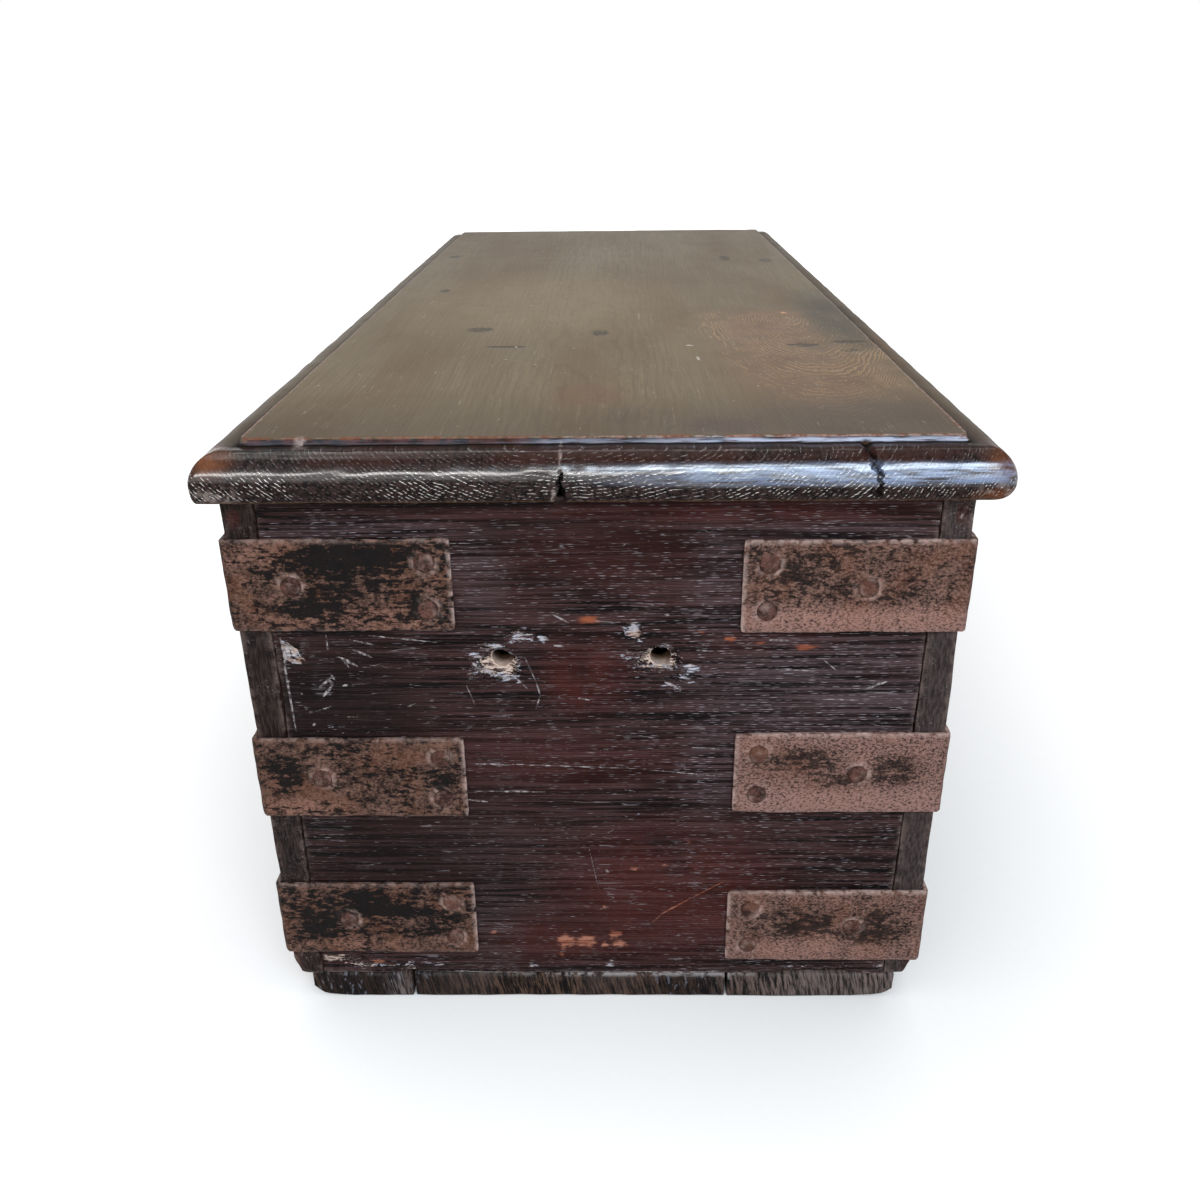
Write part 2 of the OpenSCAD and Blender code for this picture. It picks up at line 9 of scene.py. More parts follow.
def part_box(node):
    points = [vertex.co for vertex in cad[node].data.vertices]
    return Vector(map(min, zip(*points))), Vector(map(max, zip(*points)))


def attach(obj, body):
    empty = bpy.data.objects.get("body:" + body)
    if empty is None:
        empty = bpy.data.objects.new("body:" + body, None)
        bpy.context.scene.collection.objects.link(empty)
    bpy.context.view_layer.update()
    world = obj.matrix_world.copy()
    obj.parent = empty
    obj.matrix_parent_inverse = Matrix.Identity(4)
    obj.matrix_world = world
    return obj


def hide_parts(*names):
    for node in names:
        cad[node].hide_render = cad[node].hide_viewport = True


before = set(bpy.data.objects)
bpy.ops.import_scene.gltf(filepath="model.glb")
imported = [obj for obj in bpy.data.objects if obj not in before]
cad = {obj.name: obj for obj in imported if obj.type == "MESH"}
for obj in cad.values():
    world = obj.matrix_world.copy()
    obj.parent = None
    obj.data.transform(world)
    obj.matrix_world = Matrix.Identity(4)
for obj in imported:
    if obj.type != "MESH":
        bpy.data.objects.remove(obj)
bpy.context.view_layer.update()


# The place it stands in: the photograph's camera beyond the box's left end, a white floor that keeps
# the soft shadow, its glow darkened near the box as a painted shadow, and five soft lamps: a strip
# over the lid's near end, a window at its right in two parts, the ceiling and a weak one in front.
class Flow:
    """A value in a node tree, which plain sums can be written with."""

    def __init__(self, socket):
        self.socket = socket

    def __add__(self, other):
        return work("ADD", self, other)

    def __radd__(self, other):
        return work("ADD", other, self)

    def __sub__(self, other):
        return work("SUBTRACT", self, other)

    def __rsub__(self, other):
        return work("SUBTRACT", other, self)

    def __mul__(self, other):
        return work("MULTIPLY", self, other)

    def __truediv__(self, other):
        return work("DIVIDE", self, other)

    def __abs__(self):
        return work("ABSOLUTE", self)

    def clamped(self):
        self.socket.node.use_clamp = True
        return self


def feed(value, socket):
    """Leads a value to a socket. A colour may be given by its three shades, from 0 to 255."""
    if isinstance(value, Flow):
        value = value.socket
    if socket.type == "RGBA" and isinstance(value, tuple) and len(value) == 3:
        value = tuple(((c / 255 + 0.055) / 1.055) ** 2.4 if c > 10 else c / 3294 for c in value) + (1.0,)
    if isinstance(value, bpy.types.NodeSocket):
        tree.links.new(value, socket)
    else:
        socket.default_value = value


def put(kind, sockets=None, **settings):
    made = tree.nodes.new("ShaderNode" + kind)
    for name, value in settings.items():
        setattr(made, name, value)
    for name, value in (sockets or {}).items():
        feed(value, made.inputs[name])
    return made


def work(operation, first, second=0.0):
    return Flow(put("Math", {0: first, 1: second}, operation=operation).outputs[0])


def between(value, low, high, most=1.0):
    sockets = {"Value": value, "From Min": low, "From Max": high, "To Max": most}
    return Flow(put("MapRange", sockets, interpolation_type="SMOOTHSTEP").outputs[0])


def layer(share, under, over):
    return Flow(put("Mix", {0: share, 6: under, 7: over}, data_type="RGBA").outputs[2])


def layers(under, *coats):
    for share, over in coats:
        under = layer(share, under, over)
    return under


def own_place():
    return Flow(put("TexCoord").outputs["Object"])


def axes(place):
    return [Flow(part) for part in put("SeparateXYZ", {0: place}).outputs]


def length(place):
    return Flow(put("VectorMath", {0: place}, operation="LENGTH").outputs["Value"])


def seen_white():
    path = put("LightPath").outputs
    seen = work("MAXIMUM", path["Is Camera Ray"], path["Is Glossy Ray"])
    return work("MAXIMUM", seen, path["Is Transmission Ray"])


eye = bpy.data.cameras.new("eye")
eye.lens, eye.sensor_width, eye.sensor_fit, eye.clip_start = 32.9, 36.0, "HORIZONTAL", 0.02
camera = bpy.data.objects.new("eye", eye)
bpy.context.scene.collection.objects.link(camera)
ahead = Vector((0.9079, 0.01585, -0.419)).normalized()
level = Vector((0.01745, -0.99985, 0.0)).normalized()
upright = level.cross(ahead).normalized()
roll = -0.0114
across = math.cos(roll) * level + math.sin(roll) * upright
upwards = math.cos(roll) * upright - math.sin(roll) * level
turned = Matrix((across, upwards, -ahead)).transposed().to_4x4()
camera.matrix_world = Matrix.Translation((-0.8471, -0.00655, 0.4438)) @ turned
bpy.context.scene.camera = camera
bpy.context.scene.view_settings.view_transform = "Standard"

sky = bpy.data.worlds.new("studio")
bpy.context.scene.world = sky
sky.use_nodes = True
sky.node_tree.nodes.clear()
tree = sky.node_tree
high_up = axes(put("TexCoord").outputs["Generated"])[2]
wall = layer(between(high_up, 0.12, 0.5), (1.0, 1.0, 1.0, 1.0), (0.1, 0.11, 0.12, 1.0))
glow = put("Background", {"Color": layer(seen_white(), (0.29, 0.305, 0.33, 1.0), wall)})
put("OutputWorld", {"Surface": glow.outputs[0]})

for name, place, aim, wide, deep, power, colour in (
    ("overhead strip", (-1.74, 0.45, 1.05), (-0.40, 0.10, 0.30), 1.2, 0.20, 7.5, (1.0, 0.98, 0.95)),
    ("window strip", (-1.55, -0.38, 1.37), (-0.40, -0.06, 0.29), 0.80, 0.58, 23.0, (0.78, 0.89, 1.0)),
    ("ceiling lamp", (0.40, 0.00, 2.30), (0.00, 0.00, 0.20), 2.0, 2.0, 18.0, (1.0, 0.97, 0.93)),
    ("low window", (-1.62, -0.42, 0.66), (-0.41, -0.10, 0.29), 0.52, 0.56, 4.4, (0.80, 0.90, 1.0)),
    ("front lamp", (-2.30, 0.50, 1.20), (-0.40, 0.00, 0.15), 1.4, 1.4, 1.8, (1.0, 0.97, 0.94)),
):
    lamp = bpy.data.lights.new(name, "AREA")
    lamp.shape, lamp.size, lamp.size_y, lamp.energy, lamp.color = "RECTANGLE", wide, deep, power, colour
    back = (Vector(place) - Vector(aim)).normalized()
    side = (Vector((0.0, 1.0, 0.0)) - back * back.y).normalized()
    stand = bpy.data.objects.new(name, lamp)
    stand.matrix_world = (
        Matrix.Translation(place) @ Matrix((side, back.cross(side), back)).transposed().to_4x4())
    bpy.context.scene.collection.objects.link(stand)

sheet = bmesh.new()
bmesh.ops.create_grid(sheet, x_segments=2, y_segments=2, size=9.0)
bmesh.ops.translate(sheet, vec=(0.0, 0.0, -0.0004), verts=sheet.verts)
mesh = bpy.data.meshes.new("floor")
sheet.to_mesh(mesh)
sheet.free()
floor = bpy.data.objects.new("floor", mesh)
bpy.context.scene.collection.objects.link(floor)
ground = bpy.data.materials.new("white floor")
ground.use_nodes = True
tree = ground.node_tree
tree.nodes.clear()
plain = put("BsdfDiffuse", {"Color": (0.58, 0.58, 0.58, 1.0)})
paler = put("BsdfDiffuse", {"Color": (0.34, 0.34, 0.34, 1.0)})
# Painted shadow: the floor's glow fades by ambient occlusion near the box, deeper on its front (-y) side.
near_box = put("AmbientOcclusion", {"Distance": 0.3}, samples=16).outputs["AO"]
away = length(own_place())
further = between(away, 0.7, 2.5, most=0.35)
sideways = axes(own_place())[1]
open_side = between(sideways, -0.22, 0.04, most=0.12)
shaded = open_side + work("POWER", near_box, 1.5) * 0.64
touching = between(near_box, 0.0, 0.3)
white = touching * (further + (0.165 + shaded))
lift = put("Emission", {"Color": (1.0, 1.0, 1.0, 1.0), "Strength": white})
both = put("AddShader", {0: paler.outputs[0], 1: lift.outputs[0]})
floor_mix = put("MixShader", {0: seen_white(), 1: plain.outputs[0], 2: both.outputs[0]})
put("OutputMaterial", {"Surface": floor_mix.outputs[0]})
mesh.materials.append(ground)


# End boards: one oak plank each, let in between the long boards, its grain running across the
# box. Hand-planed, nearly black with old wax; each has two holes where a handle was torn out.
def fractal(point, size, seed=0.0):
    return noise.fractal(Vector(point) / size + Vector((seed, 1.7 * seed, -seed)), 1.0, 2.0, 3)


def block(low, high):
    shape = bmesh.new()
    bmesh.ops.create_cube(shape, size=1.0)
    bmesh.ops.scale(shape, vec=Vector(high) - Vector(low), verts=shape.verts)
    bmesh.ops.translate(shape, vec=(Vector(high) + Vector(low)) / 2, verts=shape.verts)
    return shape


def slab(low, high, pitch, arris=0.0007):
    plank = block(low, high)
    size = Vector(high) - Vector(low)
    bmesh.ops.bevel(
        plank, geom=plank.edges[:], offset=arris, offset_type="OFFSET", segments=2, profile=0.5,
        affect="EDGES", clamp_overlap=True, material=-1)
    for axis in range(3):
        along = [
            e
            for e in plank.edges
            if abs((e.verts[0].co - e.verts[1].co)[axis]) > 0.999 * e.calc_length() > 0.6 * size[axis]]
        cuts = max(0, round(size[axis] / pitch[axis]) - 1)
        if cuts:
            bmesh.ops.subdivide_edges(plank, edges=along, cuts=cuts, use_grid_fill=True)
    return plank


def hand_worked(plank, low, high, seed, uneven, lost):
    for v in plank.verts:
        gaps = [(v.co[i] - low[i], high[i] - v.co[i]) for i in range(3)]
        near = [min(g) for g in gaps]
        inward = [1 if g[0] < g[1] else -1 for g in gaps]
        face, side, _ = sorted(range(3), key=lambda i: near[i])
        bite = lost * max(0.0, 0.3 + fractal(v.co, 0.035, seed)) * math.exp(-(near[side] / 0.003) ** 2)
        v.co[face] += inward[face] * (bite + uneven * (0.5 + 0.5 * fractal(v.co, 0.06, seed + 9)))
        v.co[side] += inward[side] * bite


def chip(plank, axis, level, places, inward=1, reach=0.0015):
    for v in plank.verts:
        if abs(v.co[axis] - level) > reach:
            continue
        u, w = (v.co[i] for i in range(3) if i != axis)
        deep = 0.0
        for pu, pw, ru, rw, depth in places:
            far = math.hypot((u - pu) / ru, (w - pw) / rw)
            if far < 1.4:
                far += 0.35 * fractal(v.co, 0.006, pu * 90)
                ease = min(1.0, max(0.0, (1.15 - far) / 0.5))
                deep = max(
                    deep, depth * ease * ease * (3 - 2 * ease) * (0.85 + 0.4 * fractal(v.co, 0.004, 3)))
        v.co[axis] += inward * deep


def as_piece(shape, name, replaced, body, finish, sharp=40.0):
    bmesh.ops.recalc_face_normals(shape, faces=shape.faces)
    mesh = bpy.data.meshes.new(name)
    shape.to_mesh(mesh)
    shape.free()
    piece = bpy.data.objects.new(name, mesh)
    bpy.context.scene.collection.objects.link(piece)
    mesh.shade_smooth()
    mesh.set_sharp_from_angle(angle=math.radians(sharp))
    mesh.materials.append(finish)
    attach(piece, body)
    if replaced:
        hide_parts(*replaced)
    return piece


def cut_out(piece, tool):
    bmesh.ops.recalc_face_normals(tool, faces=tool.faces)
    mesh = bpy.data.meshes.new("cutter")
    tool.to_mesh(mesh)
    tool.free()
    cutter = bpy.data.objects.new("cutter", mesh)
    bpy.context.scene.collection.objects.link(cutter)
    cut = piece.modifiers.new("cut", "BOOLEAN")
    cut.operation, cut.solver, cut.object = "DIFFERENCE", "EXACT", cutter
    result = bpy.data.meshes.new_from_object(piece.evaluated_get(bpy.context.evaluated_depsgraph_get()))
    piece.modifiers.clear()
    old = piece.data
    piece.data = result
    bpy.data.meshes.remove(old)
    bpy.data.objects.remove(cutter)
    bpy.data.meshes.remove(mesh)


def places_of(piece):
    flat = np.empty(len(piece.data.vertices) * 3, np.float32)
    piece.data.vertices.foreach_get("co", flat)
    return flat.reshape(-1, 3)


def mark(piece, name, value):
    layer = piece.data.attributes.get(name) or piece.data.attributes.new(name, "FLOAT", "POINT")
    layer.data.foreach_set("value", value.astype(np.float32))


def soft_spots(at, places, soft=0.4):
    value = np.zeros(len(at))
    for place, reach, strength in places:
        far = np.linalg.norm((at - np.array(place)) / np.array(reach), axis=1)
        value = np.maximum(value, strength * np.clip((1 + soft - far) / (2 * soft), 0, 1))
    return value


def edge_closeness(at, low, high, width):
    near = np.sort(np.minimum(at - np.array(low), np.array(high) - at), axis=1)
    return np.exp(-(np.maximum(near[:, 1], 0) / width) ** 2)


def flat_spots(at, axis, level, thick, places, soft=0.4):
    """Soft spots on a flat side, given in millimetres along its two other axes, with a strength."""
    solid = []
    for *flat, strength in places:
        place, reach = np.insert(np.array(flat).reshape(2, 2) / 1000, axis, (level, thick), axis=1)
        solid.append((place, reach, strength))
    return soft_spots(at, solid, soft)


def effect(name, takes, gives):
    """A node group with what it takes, a number or None for a place, and the values it gives."""
    global tree
    tree = bpy.data.node_groups.new(name, "ShaderNodeTree")
    for label, value in takes.items():
        kind = "NodeSocketVector" if value is None else "NodeSocketFloat"
        socket = tree.interface.new_socket(label, in_out="INPUT", socket_type=kind)
        if value is not None:
            socket.default_value = value
    for label in gives:
        tree.interface.new_socket(label, in_out="OUTPUT", socket_type="NodeSocketFloat")
    into = {socket.name: Flow(socket) for socket in tree.nodes.new("NodeGroupInput").outputs}
    return tree, into, tree.nodes.new("NodeGroupOutput").inputs


def use(group, sockets):
    made = put("Group", sockets, node_tree=group)
    return {socket.name: Flow(socket) for socket in made.outputs}


def stretched(place, scale):
    return Flow(put("VectorMath", {0: place, 1: scale}, operation="MULTIPLY").outputs[0])


def measured_from(place, origin):
    return Flow(put("VectorMath", {0: place, 1: origin}, operation="SUBTRACT").outputs[0])


def joined(x, y, z=0.0):
    return Flow(put("CombineXYZ", {0: x, 1: y, 2: z}).outputs[0])


def cloud(place, scale=1.0, detail=3.0, rough=0.55):
    if isinstance(scale, (tuple, Flow)):
        place, scale = stretched(place, scale), 1.0
    sockets = {"Vector": place, "Scale": scale, "Detail": detail, "Roughness": rough}
    return Flow(put("TexNoise", sockets).outputs[0])


def attribute(name):
    return Flow(put("Attribute", attribute_name=name).outputs["Fac"])


def new_finish(name):
    global tree
    finish = bpy.data.materials.new(name)
    finish.use_nodes = True
    tree = finish.node_tree
    tree.nodes.clear()
    shader = put("BsdfPrincipled")
    put("OutputMaterial", {"Surface": shader.outputs[0]})
    return finish, shader


def dress(shader, colour, roughness, height, depth, strength, specular=0.5):
    feed(colour, shader.inputs["Base Color"])
    feed(roughness, shader.inputs["Roughness"])
    relief = put("Bump", {"Height": height, "Distance": depth, "Strength": strength})
    feed(relief.outputs[0], shader.inputs["Normal"])
    feed(specular, shader.inputs["Specular IOR Level"])


def raw_oak(grain, dark, pale, pore_share, pores):
    wood = layer(between(grain["Fibres"], 0.3, 0.7), dark, pale)
    return layer(grain["Pores"] * pore_share, wood, pores)


# How oak grows, for any board: growth rings about a pith line, rows of open pores in each ring
# that show as dots on end grain and dashes along the board, and the fibres between them.
oak_growth, into, out = effect("oak growth", {
    "Place": None, "Pith": None, "Ring width": 0.0017, "Wander": 0.003, "Swirl": 0.0,
    "Pore length": 0.009}, ("Rings", "Pores", "Pore life", "Fibres"))
slow = cloud(into["Place"], (5, 16, 16), 2)
from_pith = measured_from(into["Place"], into["Pith"])
apart = axes(from_pith)
radius = length(stretched(from_pith, (0, 1, 1)))
sway = (slow - 0.5) * (into["Wander"] * 2.0)
shiver = (cloud(into["Place"], (48, 110, 110), 2) - 0.5) * 0.0016
sway += shiver
count = (radius + sway + into["Swirl"]) / into["Ring width"]
turn = work("ARCTAN2", apart[1], apart[2]) * radius
chance = Flow(
    put("TexWhiteNoise", {"W": work("FLOOR", count)}, noise_dimensions="1D").outputs[0])
along = apart[0] / into["Pore length"] + chance * 7.3
around = turn / 0.00115 + chance * 13.7
row = joined(count, around, along)
pores = put("TexVoronoi", {"Vector": row, "Scale": 1.0, "Randomness": 0.85})
in_ring = work("FRACT", count + cloud(into["Place"], (60, 260, 260), 1) * 0.7)
off_row = abs(in_ring - 0.5)
in_row = 1.0 - between(off_row, 0.05, 0.15)
dots = 1.0 - between(pores.outputs["Distance"], 0.28, 0.48)
feed(dots * in_row, out["Pores"])
feed(put("SeparateColor", {0: pores.outputs["Color"]}).outputs[0], out["Pore life"])
late = between(in_ring, 0.55, 0.95)
feed(late * (1.0 - between(in_ring, 0.97, 1)), out["Rings"])
feed(cloud(into["Place"], (16, 620, 620), 4, 0.6), out["Fibres"])

# Fine scratches in one direction, broken off where a slow noise is low.
scratched, into, out = effect(
    "scratched", {"Place": None, "Scale": None, "Width": 0.012, "Amount": 0.5}, ("Lines",))
lines = cloud(into["Place"], into["Scale"], 1)
thin = 1.0 - between(abs(lines - 0.5), 0, into["Width"])
broken = cloud(into["Place"], (70, 70, 70), 2)
limit = 0.8 - into["Amount"] * 0.5
feed(thin * between(broken, limit, limit + 0.06), out["Lines"])

half_x, on_face = 0.3975, 0.0004
hole_y, hole_half, hole_z, hole_r = 0.01025, 0.03685, 0.206, 0.005
end_oak, shader = new_finish("end board oak")
spot = own_place()
parts = axes(spot)
place = joined(parts[1], parts[0], parts[2])
grain = use(oak_growth, {
    "Place": place, "Pith": (0, 0.11, 1.25), "Ring width": 0.00108, "Wander": 0.0042,
    "Pore length": 0.005})
broad = cloud(place, (9, 30, 30))
colour = layer(between(grain["Fibres"], 0.4, 0.63), (8, 4, 4), (63, 42, 41))
warm = attribute("warm") * between(cloud(place, 34, 4), 0.22, 0.52)
soot_and_shade = attribute("soot_and_shade")
ragged = cloud(place, (190, 850, 850), 5, 0.75) - 0.5
rusty = between(attribute("rusty") + ragged * 1.8, 0.4, 0.95)
rust_tone = layer(between(parts[2], 0.09, 0.12), (176, 118, 96), (146, 80, 52))
rust_tone = layer(between(grain["Fibres"], 0.35, 0.6), (104, 52, 38), rust_tone)
crowd = cloud(place, (14, 22, 22), 2)
crowd += (attribute("waxed") + attribute("painted_sheen") * 0.5 - soot_and_shade) * 0.3
picked = between(grain["Pore life"] + crowd * 1.1, 0.8, 1.22)
waxed = grain["Pores"] * (grain["Pore life"] * 0.25 + picked * 0.75)
bare = between(attribute("bare") + ragged * 3.6, 0.62, 0.84)
fibre_tone = layer(
    between(ragged + 0.5, 0.4, 0.6), (62, 48, 44),
    layer(between(cloud(place, (60, 190, 190), 2), 0.38, 0.52), (172, 142, 124), (188, 188, 197)))
fibre_tone = layer(
    between(parts[0], -0.3967, -0.395), fibre_tone,
    layer(between(ragged + 0.5, 0.4, 0.56), (120, 92, 78), (208, 184, 168)))
from_middle = parts[1] - hole_y
off_axis = abs(from_middle) - hole_half
leftward = off_axis * work("SIGN", from_middle)
off_centre = length(joined(off_axis, parts[2] - hole_z))
# Painted light: the lower left wall of each handle hole is painted pale, as if lit inside.
painted_lit_bore = between(off_centre, 0.0058, 0.0053) * between(parts[0], -0.3835, -0.39)
painted_lit_bore *= between(parts[2], 0.21, 0.2065) * between(leftward, -0.005, -0.002)
frayed = between(cloud(place, 330, 4, 0.7), 0.44, 0.58)
scored = between(attribute("scored") + ragged * 1.2, 0.3, 0.75) * (0.12 + frayed * 0.88)
# Rubbed edges, pale as wear and as a painted highlight.
wear_and_highlight = attribute("edge") * between(cloud(place, 240), 0.4, 0.65)
lines = use(scratched, {"Place": spot, "Scale": (30, 22, 420), "Width": 0.008, "Amount": 0.62})["Lines"]
inside = attribute("inside")
raw = raw_oak(grain, (74, 52, 38), (112, 84, 62), 0.7, (44, 30, 24))
colour = layers(colour,
    (between(broad, 0.46, 0.72) * 0.4, (66, 40, 37)),
    (warm * 0.45, (86, 38, 30)),
    # Painted sheen: bluish grey patches lightening the dark wood where it shone.
    (attribute("painted_sheen") * between(grain["Fibres"], 0.36, 0.66) * 0.5, (84, 73, 76)),
    # Partly soot, partly painted shade: a band along the top under the lid and darker patches towards +y.
    (soot_and_shade * 0.75, (20, 13, 12)),
    (grain["Rings"] * 0.5, (14, 7, 8)),
    (rusty * 0.85, rust_tone),
    (waxed * 0.88, (192, 180, 184)),
    (bare * 0.85, fibre_tone),
    # Painted light inside the handle holes.
    (painted_lit_bore * 0.9, (198, 172, 155)),
    (scored * 0.75, (176, 166, 164)),
    (wear_and_highlight * 0.5, (120, 104, 98)),
    (lines * 0.4, (150, 142, 142)),
    (inside, raw))
rough = (broad * 0.3 + 0.42 + (bare + inside) * 0.25).clamped()
height = grain["Fibres"] * 0.55 + grain["Pores"] * -0.5
height += cloud(place, (60, 200, 200)) * 0.6
height -= scored * 0.5
dress(shader, colour, rough, height, 0.0007, 0.9, 0.055)


def finer(shape, chosen, cuts):
    faces = [f for f in shape.faces if len(f.verts) < 9 and chosen(f.calc_center_median())]
    edges = dict.fromkeys(e for f in faces for e in f.edges)
    bmesh.ops.subdivide_edges(shape, edges=list(edges), cuts=cuts, use_grid_fill=True)


# Marks on the end in the photograph: strokes (y, z, y, z, width), then blots (y, z, reach, reach,
# strength), in millimetres: torn wood, orange rust stains and scratches.
bare_marks = (
    [
        (148.5, 216, 146.5, 206, 4.6), (149, 206, 142, 204.5, 4), (147.5, 214, 139, 206, 3.6),
        (145, 211, 141, 204, 4)],
    [
        (38.2, 217.8, 6.4, 4.1, 0.9), (51.4, 212.7, 6.5, 2.1, 0.7), (27.7, 216.9, 3.2, 1.8, 0.8),
        (49.6, 202.8, 12.5, 7.6, 0.9), (44, 196.5, 9, 2.4, 0.7), (58.5, 207.5, 6, 3, 0.7),
        (-14.1, 220.1, 4.9, 4.9, 1), (-25.6, 205.4, 11, 7.2, 0.9), (-41, 201.5, 7, 3.4, 0.7),
        (-12.5, 207.5, 6, 3, 0.6), (-15.5, 200.6, 4.7, 5.3, 0.5), (-37.9, 196.1, 5.6, 4.3, 0.55),
        (-32, 191.8, 5.6, 3.2, 0.5), (-0.7, 84.1, 1.5, 1.3, 0.8), (39.9, 21.6, 4.3, 2.8, 0.55),
        (-1.3, 21.7, 5.3, 2.8, 0.6), (126.5, 169.9, 8.6, 1.7, 0.5), (118.7, 175.4, 4.7, 2.2, 0.5),
        (146, 24.5, 11, 3.2, 0.8), (128, 21, 16, 2, 0.7), (106, 20, 4.5, 5, 0.7), (92, 22.5, 9, 1.8, 0.6),
        (-100, 20, 26, 2, 0.5), (-144, 22, 7, 3, 0.6)])
rust_marks = (
    [(-24.2, 50.8, -28.6, 55.6, 0.9), (-28.1, 55.8, -44.7, 67.2, 1.7), (-44.7, 67.2, -60, 77.1, 1.2)],
    [
        (6.9, 226.3, 6, 2.8, 1), (-45.2, 219.7, 3.2, 1.6, 0.6), (-58.6, 216.5, 5, 1.8, 0.85),
        (-72.4, 214.3, 3.2, 1.3, 0.8), (-93.1, 212.1, 6.9, 2.3, 1), (59.3, 44.3, 2.7, 1.7, 0.9),
        (20.8, 38.2, 6.2, 5.4, 1.15), (11.1, 37.9, 6.8, 4.6, 1.15), (23.9, 29.3, 2.1, 1.3, 0.9),
        (1, 35.9, 2.4, 2.2, 1), (-4.6, 43.1, 4, 3.6, 1.1), (-6.6, 36.6, 5.2, 2.6, 1.1),
        (0.8, 60.6, 1.3, 1.6, 0.9), (-14.5, 85.4, 3, 1.6, 0.8), (-41.9, 102.2, 1.5, 1.2, 0.7),
        (-30.2, 87.9, 3, 1.3, 0.7), (-46.2, 85.4, 1.5, 1.3, 0.7), (38.3, 217.2, 5.5, 3, 0.6),
        (122, 24, 5.5, 2, 0.9), (-1.3, 21.7, 4, 2, 0.6)])
scratches = (
    [
        (148.4, 215.5, 145, 205.2, 2.6), (147.6, 214, 141.2, 205.4, 2.2), (146.8, 215, 140.4, 207.6, 1.3),
        (148.6, 210, 147.8, 204.6, 1.8), (149.3, 221, 148, 167.5, 1.5), (149, 140, 148.6, 118, 1),
        (123.1, 207.7, 114.5, 202.4, 1.7), (122.1, 205.6, 116.3, 203.5, 1.2),
        (117, 211.9, 106.7, 207.1, 1.6), (121.6, 206.1, 118.8, 201.9, 1),
        (111.4, 219.1, 74.4, 214.8, 0.8), (116.8, 216.6, 104.1, 213.4, 0.9),
        (127.6, 219.2, 127.8, 209.3, 0.9), (127.6, 198.2, 126.1, 195.3, 2.2),
        (128.9, 195, 127.4, 192.1, 2.2), (134.3, 190.8, 128, 196.6, 1.8), (132.8, 186.4, 128.1, 191.8, 2),
        (123.1, 192.1, 120.2, 193, 1.4), (143.1, 187.8, 142.1, 188.1, 1.6), (142, 181, 141.2, 179.3, 1.7),
        (140.4, 178.2, 138.5, 178.2, 1.5), (137.8, 178.2, 129.3, 181.3, 0.9),
        (139.6, 170.5, 137.8, 171.9, 1.6), (93.4, 180.8, 89, 182.8, 0.9), (64.6, 192.8, 60.9, 181.6, 0.8),
        (23, 229.2, 15.6, 224.8, 1.2), (-27.5, 229, -30.6, 228.5, 1.4), (57.8, 213.7, 45.4, 212.7, 2.2),
        (30, 217.2, 24.9, 216.7, 2.2), (23.2, 213.3, 17.7, 212.8, 1.7), (58, 200, 50.9, 197.2, 2.8),
        (51.3, 196.9, 39.2, 195.3, 1.4), (61.1, 204.4, 57.6, 201.7, 2.2), (36.8, 208, 31.7, 194.3, 0.9),
        (31.7, 194.3, 29.9, 187, 1.1), (29.9, 187, 32.2, 179.6, 0.9), (41.9, 196.9, 35.6, 190.4, 1.1),
        (-21.6, 201.4, -32.7, 200.5, 2.8), (-28.2, 194.1, -36.2, 189.5, 1.9),
        (-35.1, 197.8, -40.8, 194.1, 2), (-42.7, 210.4, -48.2, 210.4, 1.2),
        (12.5, 185.5, 6.4, 184.1, 1.2), (-75.5, 215.8, -86.1, 215.2, 1.5),
        (-101.8, 205.3, -107.4, 200.4, 1), (-79.4, 200.5, -99.3, 199.4, 0.9),
        (-101.4, 184.6, -120.4, 183.8, 0.9), (-122.4, 190, -132, 193.8, 1.8),
        (-147.7, 202, -148.6, 167.7, 0.9), (8.3, 98.7, 3.6, 72.1, 0.5), (67, 148.8, 48, 148.6, 1.1),
        (50, 148.8, -17, 145.8, 0.8), (-17, 145.8, -58.6, 141, 0.8), (66, 133, 29, 132.4, 0.9),
        (68, 128, 58, 126.5, 1.4), (-41, 158, -56, 157, 1.1), (90, 16.8, 25, 16.6, 1),
        (25, 16.8, -60.6, 16.9, 1.4)], [])


def drawn(at, strokes, blots, grow=0.0):
    u, v = at[:, 1] * 1000, at[:, 2] * 1000
    total = np.zeros(len(at))
    for u0, v0, u1, v1, wide in strokes:
        run = np.clip(
            ((u - u0) * (u1 - u0) + (v - v0) * (v1 - v0)) / ((u1 - u0) ** 2 + (v1 - v0) ** 2), 0, 1)
        gap = np.hypot(u - u0 - run * (u1 - u0), v - v0 - run * (v1 - v0)) - grow
        half = wide * (0.1 + 0.42 * (1 - np.abs(2 * run - 1) ** 3))
        total = np.maximum(total, np.clip((half - gap) / (0.6 * half), 0, 1))
    for u0, v0, reach_u, reach_v, strength in blots:
        turn = np.arctan2((v - v0) / reach_v, (u - u0) / reach_u)
        far = (
            np.hypot((u - u0) / (reach_u + grow), (v - v0) / (reach_v + grow))
            * (1 + 0.12 * np.sin(3 * turn + u0) + 0.08 * np.sin(7 * turn + v0)))
        total = np.maximum(total, strength * np.clip((1.45 - far) / 1.15, 0, 1))
    return total


